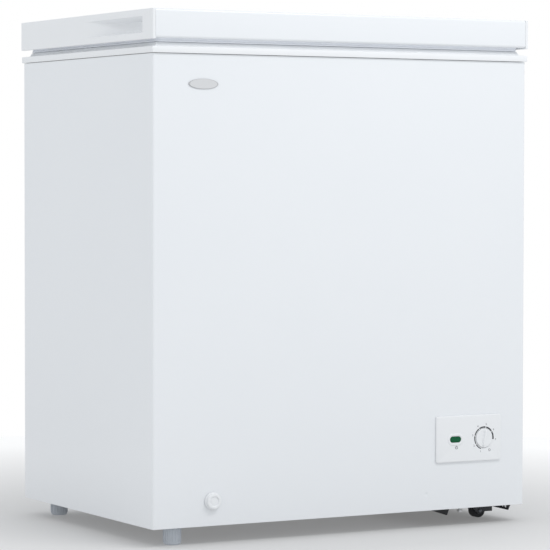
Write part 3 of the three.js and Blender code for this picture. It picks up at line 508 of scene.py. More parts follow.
def loft(name, outlines, ring=False, smooth=32):
    """Skins outlines in turn. A ring joins the last to the first; otherwise both ends are capped."""
    rows, count = len(outlines), len(outlines[0])
    faces = skin(rows, count, ring)
    if not ring:
        faces += [tuple(range(count))[::-1], tuple(range((rows - 1) * count, rows * count))]
    return new_piece(name, [p for outline in outlines for p in outline], faces, smooth)


AXES = {"up": Matrix.Identity(3), "front": Matrix(((1, 0, 0), (0, 0, -1), (0, 1, 0)))}


def turned(name, profile, centre, axis="up", sides=48, smooth=32, stretch=1.0):
    """Spins (radius, height) points. Height runs up, or out to the front."""
    points = []
    for r, h in profile:
        for i in range(sides):
            a = 2 * math.pi * i / sides
            local = Vector((r * math.cos(a), r * math.sin(a) * stretch, h))
            points.append(Vector(centre) + AXES[axis] @ local)
    hollow = profile[0] != profile[-1] and profile[0][0] > 0 and profile[-1][0] > 0
    return new_piece(name, points, skin(len(profile), sides, hollow), smooth)


def arc(cx, cy, r, start, end, steps):
    """Points of a circular arc in a profile, in degrees."""
    angles = [math.radians(start + (end - start) * i / steps) for i in range(steps + 1)]
    return [(cx + r * math.cos(a), cy + r * math.sin(a)) for a in angles]


print("form helpers ready")

# %% Merged copies of pressed sheets
def refined(node, material, width, segments=2, smooth=32):
    """The CAD node's own shape, merged into clean faces, with its edges rounded."""
    work = bmesh.new()
    work.from_mesh(frame["nodes"][node].data)
    bmesh.ops.remove_doubles(work, verts=work.verts, dist=2e-6)
    bmesh.ops.dissolve_limit(work, angle_limit=math.radians(0.5), verts=work.verts, edges=work.edges)
    mesh = bpy.data.meshes.new(node + "_finished")
    work.to_mesh(mesh)
    work.free()
    shaded(mesh, smooth)
    piece = placed(mesh.name, mesh)
    if width:
        rounded(piece, width, segments, smooth)
    return settle(piece, material, node)


print("sheet helper ready")

# %% [markdown]
# ## The steel cabinet
# The wrap is one sheet bent round the front and sides, with a hem underneath. Its rear panel, base and
# the lid's skin are sheets too. Each gets a fine edge radius.

# %% Sheet steel
refined("outer_shell", STEEL, 0.3)
refined("back_panel", STEEL, 0.2)
refined("lid_shell", STEEL, 0.3)
refined("base_step_plate", ZINC, 0.2)
refined("compressor_tray", BLACK_STEEL, 0.5)
print("sheet steel done")

# %% [markdown]
# ## The collar
# The collar is a moulded ring that caps the walls. From outside it shows a flat band, then a step, and
# a hollow rise to the sealing face. Inside, a ledge at the front and back carries the basket.

# %% Collar
TUB_FLANGE = 12


def collar_ring():
    low, high = box("top_collar")
    tub_low, tub_high = box("inner_liner")
    ledge_wide, ledge_drop, band, top = 8, 14, low.z + 10, high.z

    def outer(inset, z):
        return rect_outline(low.x + inset, high.x - inset, low.y + inset, high.y - inset,
                            max(1.6 - inset * 0.05, 0.8), z, 8)

    def inner(y_out, z, r):
        return rect_outline(tub_low.x + TUB_FLANGE, tub_high.x - TUB_FLANGE,
                            tub_low.y + TUB_FLANGE - y_out, tub_high.y - TUB_FLANGE + y_out, r, z, 8)

    rings = [outer(inset, low.z + rise) for inset, rise in ((1.0, 0), (0.25, 0.3), (0, 1.0))]
    rings += [outer(inset, band + rise)
              for inset, rise in ((0, -0.9), (0.25, -0.3), (0.9, 0), (8.0, 0.3), (9.6, 0.8), (10.6, 1.8),
                                  (11.4, 3.2), (12.4, 5.2), (13.2, 6.4), (14.2, 6.9), (15.4, 7.0))]
    rings += [inner(ledge_wide + out, top - drop, r)
              for out, drop, r in ((1.2, 0, 14), (0.3, 0.35, 13), (0, 1.2, 12), (0, ledge_drop, 12))]
    rings += [inner(0.4, top - ledge_drop, 20), inner(0, top - ledge_drop - 0.5, 20), inner(0, low.z, 20)]
    return loft("collar", rings, ring=True)


settle(collar_ring(), PLASTIC, "top_collar")
print("collar done")

# %% [markdown]
# ## The lid's end caps
# Each end of the lid is a moulding with a finger grip scooped into it. The grip starts flush at the
# back, gets deeper towards the front and stops at an abrupt wall. A cap is a grid of points over its
# face, pushed in by the depth of the scoop at each point. The grid's lines gather where the form turns.
# A second, deeper layer of points gives the moulding its wall.

# %% End caps
GRIP_FRONT, GRIP_LONG, GRIP_DEEP, GRIP_RUN = 30, 210, 17, 150
GRIP_TOP, GRIP_BOTTOM = 10.9, 36.4  # below the top of the lid
GRIP_FLOOR = ((0, 0), (55, 1), (70, GRIP_DEEP), (GRIP_RUN, GRIP_DEEP))  # a Bezier curve: along, in
TOP_SLOPE, BOTTOM_SLOPE, CORNER_FILL = 7 / 18, 4 / 18, 0.8  # slopes: sideways run for each step in
CABINET_FRONT = box("outer_shell")[0].y
LID_TOP = box("lid_end_cap_left")[1].z


def soft_least(values, blend):
    """The least of several depths, with the corners between them filled."""
    return -blend * np.log(np.sum(np.exp(-np.array(values) / blend), axis=0))


def grip_depth(y, z, grow):
    front = CABINET_FRONT + GRIP_FRONT - grow
    back = front + grow + GRIP_LONG
    upper, lower = LID_TOP - GRIP_TOP + grow, LID_TOP - GRIP_BOTTOM - grow
    if not (front < y < back and lower < z < upper):
        return 0.0
    t = np.linspace(0, 1, 40)
    shares = ((1 - t) ** 3, 3 * t * (1 - t) ** 2, 3 * t ** 2 * (1 - t), t ** 3)
    along, inward = (sum(share * point[k] for share, point in zip(shares, GRIP_FLOOR)) for k in (0, 1))
    floor = np.interp(back - y, along, inward)
    deep = soft_least([floor, (upper - z) / TOP_SLOPE, (z - lower) / BOTTOM_SLOPE], CORNER_FILL)
    return float(max(deep, 0.0))


def lines(*stretches):
    """Grid lines: each stretch is (from, to, how many steps)."""
    return sorted({round(a + (b - a) * i / n, 4) for a, b, n in stretches for i in range(n + 1)})


def end_cap(side, node):
    low, high = box(node)
    face = high.x if side > 0 else low.x
    y0, y1 = CABINET_FRONT + GRIP_FRONT, CABINET_FRONT + GRIP_FRONT + GRIP_LONG
    z0, z1 = high.z - GRIP_BOTTOM, high.z - GRIP_TOP
    rim, thick, ease = 3.2, 5.2, 1.6
    ys = lines((low.y, low.y + rim, 1), (low.y + rim, y0 - 2.4, 3), (y0 - 2.4, y0 - 0.05, 3),
               (y0 - 0.05, y0 + 0.35, 1), (y0 + 0.35, y1 - GRIP_RUN, 6), (y1 - GRIP_RUN, y1, 30),
               (y1, high.y - rim, 8), (high.y - rim, high.y, 1))
    zs = lines((low.z, low.z + rim, 1), (low.z + rim, z0 - ease, 2), (z0 - ease, z0, 2), (z0, z0 + 5, 12),
               (z0 + 5, z1 - 8, 5), (z1 - 8, z1, 14), (z1, z1 + ease, 2), (z1 + ease, high.z - rim, 2),
               (high.z - rim, high.z, 1))
    points, faces = [], []
    for layer in (0, 1):
        for y in ys:
            for z in zs:
                edge = y in (ys[0], ys[-1]) or z in (zs[0], zs[-1])
                deep = 0 if edge else grip_depth(y, z, ease * layer)
                if layer and deep:
                    deep = max(deep + ease - thick, 0)
                points.append((face - side * (deep + thick * layer), y, z))
    rows, wide = len(ys), len(zs)
    far = rows * wide
    for base in (0, far):
        for i in range(rows - 1):
            for a in range(base + i * wide, base + i * wide + wide - 1):
                faces.append((a, a + 1, a + wide + 1, a + wide))
    border = list(range(wide)) + [i * wide + wide - 1 for i in range(1, rows)]
    border += [(rows - 1) * wide + j for j in range(wide - 2, -1, -1)]
    border += [i * wide for i in range(rows - 2, 0, -1)]
    for a, b in zip(border, border[1:] + border[:1]):
        faces.append((a, b, far + b, far + a))
    piece = new_piece(node + "_moulding", points, faces, 28)
    weights = piece.data.attributes.new("bevel_weight_edge", "FLOAT", "EDGE")
    flat = 0.01
    for edge in piece.data.edges:
        a, b = (piece.data.vertices[i].co / MM for i in edge.vertices)
        on_face = abs(a.x - face) < flat and abs(b.x - face) < flat
        upright = all(min(abs(p.y - low.y), abs(p.y - high.y)) < flat for p in (a, b))
        level = all(min(abs(p.z - low.z), abs(p.z - high.z)) < flat for p in (a, b))
        if on_face and upright:
            weights.data[edge.index].value = 0.8
        elif on_face and level or (upright and level):
            weights.data[edge.index].value = 0.35
    bevel = piece.modifiers.new("moulded_edge", "BEVEL")
    bevel.limit_method, bevel.width, bevel.segments = "WEIGHT", 3 * MM, 5
    bevel.harden_normals = True
    return piece


for side, node in ((-1, "lid_end_cap_left"), (1, "lid_end_cap_right")):
    cap = settle(end_cap(side, node), PLASTIC, node)
    print(cap.name, len(cap.data.polygons), "faces")

# %% [markdown]
# ## The seal
# The seal is a soft hollow strip clipped under the lid. Its side folds in like a bellows, so it can
# follow a lid that is not quite level. The fold is what shows in the gap under the lid.

# %% Lid seal
def lid_seal():
    low, high = box("lid_gasket")
    wide = 22

    def ring(inset, t):
        return rect_outline(low.x + inset, high.x - inset, low.y + inset, high.y - inset,
                            max(9 - inset * 0.5, 2), low.z + t * (high.z - low.z), 6)

    fold = [(1.2, 0.0), (0.35, 0.06), (0.0, 0.16), (0.3, 0.3), (1.3, 0.42), (1.7, 0.5), (1.3, 0.58),
            (0.4, 0.7), (0.05, 0.82), (0.3, 0.93), (1.2, 1.0)]
    rings = [ring(i, t) for i, t in fold] + [ring(wide - i, t) for i, t in reversed(fold)]
    return loft("seal", rings, ring=True, smooth=60)


settle(lid_seal(), SEAL, "lid_gasket")
print("seal done")

# %% [markdown]
# ## Inside of the lid
# The lid's inner panel is one vacuum-formed sheet. A tray shape stands down into the opening, with
# sloping sides and a broad shallow panel pressed back into it, which stops the sheet from drumming.

# %% Inner panel
def inner_panel():
    low, high = box("lid_inner_panel")
    tub_low, tub_high = box("inner_liner")
    margin, sheet = 22, 1.4
    edge = (low.x, high.x, low.y, high.y)
    pad = (tub_low.x + margin, tub_high.x - margin, tub_low.y + margin, tub_high.y - margin)
    flange_z = high.z - 1.5

    def ring(area, shrink, r, z):
        return rect_outline(area[0] + shrink, area[1] - shrink, area[2] + shrink, area[3] - shrink, r, z, 8)

    outlines = [ring(edge, 0, 2, high.z), ring(edge, 0, 2, flange_z), ring(pad, 0, 20, flange_z),
                ring(pad, 0.8, 19, flange_z - 1)]
    outlines += [ring(pad, 2 + i * 0.9, 18, low.z + rise)
                 for i, rise in ((0, 3.4), (0.6, 1.6), (1.4, 0.6), (2.6, 0.1), (3.6, 0.0))]
    outlines += [ring(pad, shrink, 14, low.z + rise)
                 for shrink, rise in ((26, 0.0), (27, 0.15), (29.5, 1.4), (32, 2.7), (33.5, 2.9))]
    below, count = len(outlines), len(outlines[0])
    outlines += [[(x, y, z + sheet) for x, y, z in outline] for outline in reversed(outlines[2:below])]
    faces = [face for i, face in enumerate(skin(len(outlines), count, True)) if i // count != below - 1]
    faces += [tuple(range(row * count, (row + 1) * count)) for row in (below - 1, below)]
    return new_piece("lid_tray", [p for outline in outlines for p in outline], faces, 40)


settle(inner_panel(), PLASTIC, "lid_inner_panel")
print("inner panel done")

# %% [markdown]
# ## The tub
# The tub is deep on the left and steps up over the compressor on the right. The hollow itself is drawn
# first, as a solid, and its edges are rounded generously, as a press would leave them. Taking its top
# away and giving the rest a wall turns it into the tub.

# %% Tub
def tub():
    low, high = box("inner_liner")
    wall, over_step_plate, beside_drier, corner_radius, edge_radius = 1, 50, 62.5, 20, 7
    x0, x1, y0, y1 = low.x + TUB_FLANGE, high.x - TUB_FLANGE, low.y + TUB_FLANGE, high.y - TUB_FLANGE
    floor = low.z + wall
    step_top = box("base_step_plate")[1].z + over_step_plate
    step_left = box("filter_drier")[0].x - beside_drier
    outline = [(x0, floor), (step_left, floor), (step_left, step_top), (x1, step_top), (x1, high.z),
               (x0, high.z)]
    n = len(outline)
    faces = [tuple(range(n)), tuple(range(2 * n - 1, n - 1, -1))]
    faces += [(i, (i + 1) % n, (i + 1) % n + n, i + n) for i in range(n)]
    piece = new_piece("tub", [(x, y, z) for y in (y0, y1) for x, z in outline], faces)
    work = bmesh.new()
    work.from_mesh(piece.data)
    top = [f for f in work.faces if f.normal.z > 0.9 and abs(f.calc_center_median().z / MM - high.z) < 0.1]
    bmesh.ops.delete(work, geom=top, context="FACES_ONLY")
    corner = [e for e in work.edges if len(e.link_faces) == 2
              and abs(e.verts[0].co.z - e.verts[1].co.z) > 100 * MM
              and abs(e.verts[0].co.x / MM - step_left) > 0.1]
    bmesh.ops.bevel(work, geom=corner, offset=corner_radius * MM, segments=8, profile=0.5, affect="EDGES")
    sharp = [e for e in work.edges if len(e.link_faces) == 2 and e.calc_face_angle() > math.radians(40)]
    bmesh.ops.bevel(work, geom=sharp, offset=edge_radius * MM, segments=4, profile=0.5, affect="EDGES")
    rim = [e for e in work.edges if len(e.link_faces) == 1]
    grown = bmesh.ops.extrude_edge_only(work, edges=rim)["geom"]
    for v in [g for g in grown if isinstance(g, bmesh.types.BMVert)]:
        v.co.x += math.copysign(TUB_FLANGE * MM, v.co.x / MM - (x0 + x1) / 2)
        v.co.y += math.copysign(TUB_FLANGE * MM, v.co.y / MM - (y0 + y1) / 2)
    bmesh.ops.reverse_faces(work, faces=work.faces)
    work.to_mesh(piece.data)
    work.free()
    shaded(piece.data, 40)
    thick = piece.modifiers.new("sheet", "SOLIDIFY")
    thick.thickness, thick.offset = wall * MM, -1
    return piece


settle(tub(), LINER, "inner_liner")
print("tub done")

# %% [markdown]
# ## Badge, panel and lamp
# The badge is a plain oval with a softened edge. The control panel is a moulded plate with sloping
# edges, a well for the knob and a slot for the lamp. A low raised oval runs round the lamp.

# %% Badge
def badge():
    low, high = box("badge_plate")
    centre, half_x, half_z = (low + high) / 2, (high.x - low.x) / 2, (high.z - low.z) / 2
    round_trip = [2 * math.pi * i / 64 for i in range(64)]
    steps = ((0, 0), (0, 0.6), (0.15, 0.85), (0.5, 1.0), (1.2, 0.97), (2.4, 0.95))
    return loft("badge", [[(centre.x + (half_x - inset) * math.cos(a), high.y - out * (high.y - low.y),
                            centre.z + (half_z - inset) * math.sin(a)) for a in round_trip]
                          for inset, out in steps], smooth=50)


settle(badge(), BADGE, "badge_plate")
refined("control_panel", PLASTIC, 0.25)
print("badge and panel done")

# %% Lamp
LAMP_LOW, LAMP_HIGH = box("lamp_lens")
PANEL_FACE = box("control_panel")[0].y


def lamp_outline(grow, y, steps):
    """The outline of the lamp's slot, grown or shrunk, at depth y."""
    centre, half = (LAMP_LOW + LAMP_HIGH) / 2, (LAMP_HIGH - LAMP_LOW) / 2
    points = []
    for side, start in ((1, -90), (-1, 90)):
        for i in range(steps + 1):
            a = math.radians(start + 180 * i / steps)
            points.append((centre.x + side * (half.x - half.z) + (half.z + grow) * math.cos(a), y,
                           centre.z + (half.z + grow) * math.sin(a)))
    return points


def lamp():
    front = LAMP_LOW.y
    steps = ((0, LAMP_HIGH.y), (0, front + 0.9), (-0.25, front + 0.4), (-0.8, front + 0.12), (-1.8, front))
    return loft("lamp", [lamp_outline(grow, y, 12) for grow, y in steps], smooth=60)


def lamp_surround():
    steps = ((5.2, 0.0), (4.8, 0.5), (4.0, 0.75), (3.2, 0.8), (1.6, 0.55), (0.7, 0.1), (0.45, -0.3),
             (0.45, -1.2), (3.0, 0.0))
    outlines = [lamp_outline(grow, PANEL_FACE - out, 16) for grow, out in steps]
    return loft("surround", outlines, ring=True, smooth=45)


settle(lamp(), LENS, "lamp_lens")
settle(lamp_surround(), PLASTIC, body="cabinet")
print("lamp done")

# %% [markdown]
# ## The knob and its scale
# The knob is a low disc with a fin to grip. The printed scale round it starts thin at the lowest
# setting and swells towards the highest. Arcs and numerals are thin slivers of ink on the panel's face.

# %% Knob
KNOB_LOW, KNOB_HIGH = box("thermostat_knob")
KNOB_X = (KNOB_LOW.x + KNOB_HIGH.x) / 2
KNOB_Z = [joint for joint in frame["joints"] if joint["name"] == "knob_turn"][0]["pos_m"][2] / MM
POINTER = math.radians(10)


def knob():
    centre, r = (KNOB_X, PANEL_FACE, KNOB_Z), (KNOB_HIGH.x - KNOB_LOW.x) / 2
    disc = turned("disc", [(0, -1.5), (r, -1.5), (r, 0.9), *arc(r - 0.9, 0.7, 0.9, 0, 90, 5), (r - 3, 1.75),
                           (r - 4, 1.55), (0, 1.55)], centre, "front", 72)
    shaft = turned("shaft", [(0, -10.5), (3, -10.5), (3, -1), (0, -1)], centre, "front", 24)
    reach = PANEL_FACE - KNOB_LOW.y
    outlines = []
    for out, half, long in ((1.0, 2.6, 13.6), (1.7, 2.2, 13.5), (3.0, 1.9, 13.2), (reach - 0.5, 1.6, 12.6),
                            (reach, 1.1, 12.0)):
        outline = rect_outline(-half, half, -long, long + 1, half * 0.8, -out, 5)
        outlines.append([(x, out_y, z) for x, z, out_y in outline])
    fin = loft("fin", outlines, smooth=40)
    fin.data.transform(Matrix.Translation(Vector(centre) * MM) @ Matrix.Rotation(POINTER, 4, "Y"))
    return joined([disc, shaft, fin], "knob")


settle(knob(), PLASTIC, "thermostat_knob")
print("knob done")

# %% Printed scale
SCALE_OUTER, SCALE_THIN, SCALE_THICK, NUMERAL_RADIUS = 19.2, 1.5, 2.7, 23
NUMERAL_AT = {"1": 197, "2": 238, "3": 283, "4": 328, "5": 371, "6": 415, "7": 459}
ARC_GAP, OFF_AT, NUMERAL_SIZE, INK_THICK = 2.2, 152, 4.6, 0.08


def on_dial(radius, degrees, lift=0.0):
    """A point of the scale, clockwise from the top as seen from the front."""
    a = math.radians(degrees)
    return (KNOB_X + radius * math.sin(a), PANEL_FACE - lift, KNOB_Z + radius * math.cos(a))


def scale_arc(start, end):
    steps = 14
    outlines = []
    for i in range(steps + 1):
        at = start + (end - start) * i / steps
        swell = (at - NUMERAL_AT["1"]) / (NUMERAL_AT["7"] - NUMERAL_AT["1"])
        inner = SCALE_OUTER - (SCALE_THIN + (SCALE_THICK - SCALE_THIN) * swell)
        outlines.append([on_dial(SCALE_OUTER, at), on_dial(SCALE_OUTER, at, INK_THICK),
                         on_dial(inner, at, INK_THICK), on_dial(inner, at)])
    return loft("arc", outlines)


def numeral(text, degrees):
    curve = bpy.data.curves.new("numeral", "FONT")
    curve.body, curve.size, curve.extrude = text, NUMERAL_SIZE * MM, INK_THICK / 2 * MM
    curve.align_x, curve.align_y, curve.resolution_u = "CENTER", "CENTER", 4
    piece = placed("numeral", curve)
    spot = Vector(on_dial(NUMERAL_RADIUS, degrees, INK_THICK / 2)) * MM
    piece.matrix_world = Matrix.Translation(spot) @ Matrix.Rotation(math.radians(90), 4, "X")
    bpy.context.view_layer.update()
    return piece


def ring_mark(x, z, radius, line, opening=0):
    """A printed ring, with an opening at its top when it is a power sign."""
    outlines = []
    for i in range(33):
        a = math.radians(opening / 2 + (360 - opening) * i / 32)
        outlines.append([(x + r * math.sin(a), PANEL_FACE - lift, z + r * math.cos(a))
                         for r, lift in ((radius, 0), (radius, INK_THICK), (radius - line, INK_THICK),
                                         (radius - line, 0))])
    return loft("ring", outlines)


stops = list(NUMERAL_AT.values())
arcs = [scale_arc(a + ARC_GAP, b - ARC_GAP if b < stops[-1] else b) for a, b in zip(stops, stops[1:])]
numerals = [numeral(text, at) for text, at in NUMERAL_AT.items()]
off_x, _, off_z = on_dial(NUMERAL_RADIUS, OFF_AT)
off_mark = ring_mark(off_x, off_z, 2.0, 0.6)
scale = joined(arcs, "dial_scale")
figures = joined([*numerals, off_mark], "dial_figures")
sign_x, sign_z = (LAMP_LOW.x + LAMP_HIGH.x) / 2 + 1.6, (LAMP_LOW.z + LAMP_HIGH.z) / 2 - 13.3
sign = ring_mark(sign_x, sign_z, 2.7, 0.8, 70)
bar = loft("bar", [[(sign_x + dx, PANEL_FACE - lift, sign_z + dz)
                    for dx, lift in ((-0.4, 0), (0.4, 0), (0.4, INK_THICK), (-0.4, INK_THICK))]
                   for dz in (0.1, 3.1)])
power_sign = joined([sign, bar], "power_sign")
for mark, ink in ((scale, INK), (figures, PALE_INK), (power_sign, INK)):
    settle(mark, ink, body="cabinet")
print("scale done")

# %% [markdown]
# ## The drain
# The dial low on the front covers the end of a pull-out spout. It has a thin flange, a raised cap with a
# rolled rim, and a step round its well. Inside the tub, a plug with a grip closes the drain hole.

# %% Drain dial, spout and plug
def drain_dial():
    low, high = box("drain_dial")
    r, tall = (high.x - low.x) / 2, high.y - low.y
    hub, cap, well = 4.2, r - 1.5, 7.6
    profile = [(hub, 0), (r - 0.3, 0), (r, 0.3), (r, 1.1), (r - 0.4, 1.5), (cap + 0.3, 1.7), (cap, 2.1),
               (cap, tall - 2), *arc(cap - 2, tall - 2, 2, 8, 90, 6),
               *arc(well + 0.7, tall - 0.7, 0.7, 90, 180, 4), (well - 0.2, tall - 1.3),
               (well - 0.8, tall - 1.6), (6, tall - 1.6), (5.6, tall - 1.2), (0, tall - 1.2), (0, tall - 2.6),
               (hub, tall - 2.6), (hub, 0)]
    return turned("drain_cap", profile, ((low.x + high.x) / 2, high.y, (low.z + high.z) / 2), "front", 64, 38)


def drain_plug():
    low, high = box("drain_plug")
    cx, cy, rest = (low.x + high.x) / 2, (low.y + high.y) / 2, high.z - 12
    body = turned("plug_body", [(0, -2.8), (5.0, -2.8), (5.5, -2.2), (5.6, 0.3), (12.4, 0.3), (13, 0.9),
                                (13, 2.4), *arc(11.4, 2.9, 1.6, 0, 90, 5), (0, 4.5)], (cx, cy, rest))
    grip = loft("grip", [rect_outline(cx - half, cx + half, cy - thin, cy + thin, thin * 0.9, rest + z, 5)
                         for half, thin, z in ((9, 1.6, 4), (9, 1.6, 10), (8.6, 1.4, 11.3), (7.4, 0.8, 12))])
    return joined([body, grip], "tub_plug")


settle(drain_dial(), PLASTIC, "drain_dial")
refined("drain_spout", SPOUT_PLASTIC, 0.2)
refined("drain_pipe", SPOUT_PLASTIC, 0.2)
settle(drain_plug(), SPOUT_PLASTIC, "drain_plug")
print("drain done")

# %% [markdown]
# ## Copying by Geometry Nodes
# Ribs, wires, louvres and screw heads repeat. One small geometry tree puts a shape at every point of a
# cloud of points, turned as the points say, makes the copies real and gives them their material. Its
# inputs have names, and each is set by its socket's own identifier.

# %% Copies on points
def copying_tree(name):
    tree = bpy.data.node_groups.new(name, "GeometryNodeTree")
    for label, kind in (("Points", "NodeSocketGeometry"), ("Shape", "NodeSocketObject"),
                        ("Scale", "NodeSocketFloat"), ("Surface", "NodeSocketMaterial")):
        tree.interface.new_socket(label, in_out="INPUT", socket_type=kind)
    tree.interface.new_socket("Copies", in_out="OUTPUT", socket_type="NodeSocketGeometry")
    new, link = tree.nodes.new, tree.links.new
    start, end, shape = new("NodeGroupInput"), new("NodeGroupOutput"), new("GeometryNodeObjectInfo")
    turn, place = new("GeometryNodeInputNamedAttribute"), new("GeometryNodeInstanceOnPoints")
    real, surface = new("GeometryNodeRealizeInstances"), new("GeometryNodeSetMaterial")
    turn.data_type = "FLOAT_VECTOR"
    turn.inputs["Name"].default_value = "turn"
    for source, output, target, entry in (
            (start, "Shape", shape, "Object"), (start, "Points", place, "Points"),
            (shape, "Geometry", place, "Instance"), (turn, "Attribute", place, "Rotation"),
            (start, "Scale", place, "Scale"), (place, "Instances", real, "Geometry"),
            (real, "Geometry", surface, "Geometry"), (start, "Surface", surface, "Material"),
            (surface, "Geometry", end, "Copies")):
        link(source.outputs[output], target.inputs[entry])
    return tree


COPYING = copying_tree("copies_on_points")


def copies(name, shape, places, material, extra=()):
    """One mesh with the shape at each (point, turn). The shape itself is used up."""
    mesh = bpy.data.meshes.new(name + "_points")
    mesh.from_pydata([tuple(Vector(p) * MM) for p, _ in places], [], [])
    turns = mesh.attributes.new("turn", "FLOAT_VECTOR", "POINT")
    turns.data.foreach_set("vector", [v for _, turn in places for v in turn])
    cloud = placed(name + "_points", mesh)
    bpy.context.view_layer.update()
    nodes = cloud.modifiers.new("copies", "NODES")
    nodes.node_group = COPYING
    sockets = {s.name: s.identifier for s in COPYING.interface.items_tree if s.in_out == "INPUT"}
    for label, value in (("Shape", shape), ("Scale", 1.0), ("Surface", material)):
        nodes[sockets[label]] = value
    cloud.update_tag()
    bpy.context.view_layer.update()
    mesh = baked(cloud)
    mesh.name = name
    piece = placed(name, mesh)
    for used in (cloud, shape):
        bpy.data.objects.remove(used)
    return joined([piece, *extra], name) if extra else piece


print("copying tree ready")

# %% [markdown]
# ## The levelling feet
# A foot is a plain moulded drum that a hand can turn, so ribs run down its side. The drum is turned a
# little small, and the ribs stand out to the full size.

# %% Feet
def levelling_foot(node):
    low, high = box(node)
    cx, cy = (low.x + high.x) / 2, (low.y + high.y) / 2
    r, tall = (high.x - low.x) / 2, box("outer_shell")[0].z - 0.6
    core, stud_top = r - 0.8, high.z - tall
    drum = turned("drum", [(0, 0.6), (r - 6, 0.6), (r - 5.6, 0), (r - 3.2, 0),
                           *arc(core - 3.2, 3.2, 3.2, -80, 0, 6), (core, tall - 0.8), (core - 0.8, tall),
                           (0, tall)], (cx, cy, 0), "up", 72, 38)
    stud = turned("stud", [(0, 0), (4, 0), (4, stud_top - 1), (3, stud_top), (0, stud_top)], (cx, cy, tall),
                  "up", 24)
    rib_half, rib_top, count = 1.25, tall - 0.4, 18
    outline = [(-0.8, 4), (-1.6, 3.2), (0.1, 3.4), (0.8, 5.2), (0.8, rib_top - 1), (0.2, rib_top),
               (-0.8, rib_top)]
    rib = loft("rib", [[(out, side * rib_half * (1 - 0.35 * (out > 0)), z) for out, z in outline]
                       for side in (-1, 1)])
    turns = [2 * math.pi * (i + 0.5) / count for i in range(count)]
    places = [((cx + core * math.cos(a), cy + core * math.sin(a), 0), (0, 0, a)) for a in turns]
    return copies(node + "_ribbed", rib, places, FOOT_PLASTIC, [drum, stud])


for node in ("levelling_foot_front", "levelling_foot_rear"):
    settle(levelling_foot(node), FOOT_PLASTIC, node)
print("feet done")

# %% [markdown]
# ## Rollers and their brackets
# The compressor end stands on two solid rollers. Each turns on a riveted axle between the ears of a
# folded bracket. The rollers' faces are dished round the hub.

# %% Rollers
def roller(node):
    low, high = box(node)
    r, half, bore = (high.x - low.x) / 2, (high.y - low.y) / 2, 2.6
    side = [(bore, half), (4.6, half), (5.0, half - 0.6), (8.2, half - 0.6), (8.7, half),
            *arc(r - 1.2, half - 1.2, 1.2, 90, 0, 5)]
    profile = side + [(radius, -h) for radius, h in reversed(side)]
    return turned(node + "_wheel", profile, (low + high) / 2, "front", 56, 38)


def axle_rivet(where):
    low, high = box("roller_axle_" + where)
    half = (high.y - low.y) / 2
    profile = [(0, half - 0.2), (1.4, half - 0.3), (2.6, half - 0.8), (3.1, half - 1.5), (3.1, half - 2),
               (2.2, half - 2), (2.2, -half + 1.4), (1.8, -half + 1), (0, -half + 1)]
    return turned("roller_rivet_" + where, profile, (low + high) / 2, "front", 28)


for where in ("front", "rear"):
    settle(roller("roller_" + where), RUBBER, "roller_" + where)
    refined("roller_bracket_" + where, BLACK_STEEL, 0.3)
    settle(axle_rivet(where), DARK_ZINC, "roller_axle_" + where)
print("rollers done")

# %% [markdown]
# ## Screws
# Machine-driven screws have a low domed head with a cross recess. The same head serves for the rear
# cover, the hinges and the tray.

# %% Screw heads
def screw_head(radius=3.8, tall=2.2):
    """A domed head that sits on the plane z = 0, with a sunk cross."""
    dome = [(radius * out, tall * up) for out, up in ((0.94, 0.45), (0.74, 0.78), (0.42, 0.96), (0, 1))]
    head = turned("head", [(0, 0), (radius, 0), (radius, 0.3), *dome], (0, 0, 0), "up", 32, 50)
    arm, half, deep = radius * 0.62, radius * 0.14, tall * 0.45
    for wide, long in ((arm, half), (half, arm)):
        bar = loft("cross", [rect_outline(-wide, wide, -long, long, half * 0.3, z, 2)
                             for z in (deep, tall * 2)])
        cut = head.modifiers.new("cross", "BOOLEAN")
        cut.operation, cut.solver, cut.object = "DIFFERENCE", "EXACT", bar
        mesh = baked(head)
        head.modifiers.clear()
        head.data = mesh
        bpy.data.objects.remove(bar)
    return head


def cover_screw(node):
    low, high = box(node)
    seat = ((low.x + high.x) / 2, high.y - 2.2, (low.z + high.z) / 2)
    shank = turned("shank", [(0, 0), (2, 0), (2, 5), (1.2, 6), (0, 6)], seat, "front", 20)
    return copies(node + "_head", screw_head(), [(seat, (-math.pi / 2, 0, 0.4))], BRIGHT_ZINC, [shank])


for i in range(1, 5):
    settle(cover_screw(f"cover_screw_{i}"), BRIGHT_ZINC, f"cover_screw_{i}")
print("screws done")

# %% [markdown]
# ## The compressor's cover
# The rear opening of the compressor space is closed by a pressed cover with rows of slots. Each slot has
# a hood that keeps water and fingers out.

# %% Louvres
def louvre_hoods():
    low, high = box("compressor_cover")
    flange, side_room, half_gap, rows, first, last = 14, 10, 5, 7, 32, 12
    x0, x1, z0, z1 = low.x + flange, high.x - flange, low.z + flange, high.z - flange
    pitch = (z1 - z0 - first - last) / (rows - 1)
    middle = (x0 + x1) / 2
    long = (middle - half_gap) - (x0 + side_room)
    outline = [(0, 3.4), (0.9, 3.2), (2.0, 2.2), (2.6, 0.8), (2.7, -0.6), (2.2, -0.6), (2.1, 0.7), (1.6, 1.9),
               (0.7, 2.7), (0, 2.9)]
    ends = ((-0.5, 0.0), (-0.49, 0.6), (-0.46, 1.0), (0.46, 1.0), (0.49, 0.6), (0.5, 0.0))
    hood = loft("hood", [[(t * long, 0.02 + y * grow, z) for y, z in outline] for t, grow in ends], smooth=50)
    columns = ((x0 + side_room + middle - half_gap) / 2, (middle + half_gap + x1 - side_room) / 2)
    places = [((x, high.y - 0.15, z0 + first + pitch * row), (0, 0, 0))
              for row in range(rows) for x in columns]
    return copies("louvre_hoods", hood, places, ZINC)


refined("compressor_cover", ZINC, 0.25)
settle(louvre_hoods(), ZINC, body="cabinet")
print("louvres done")

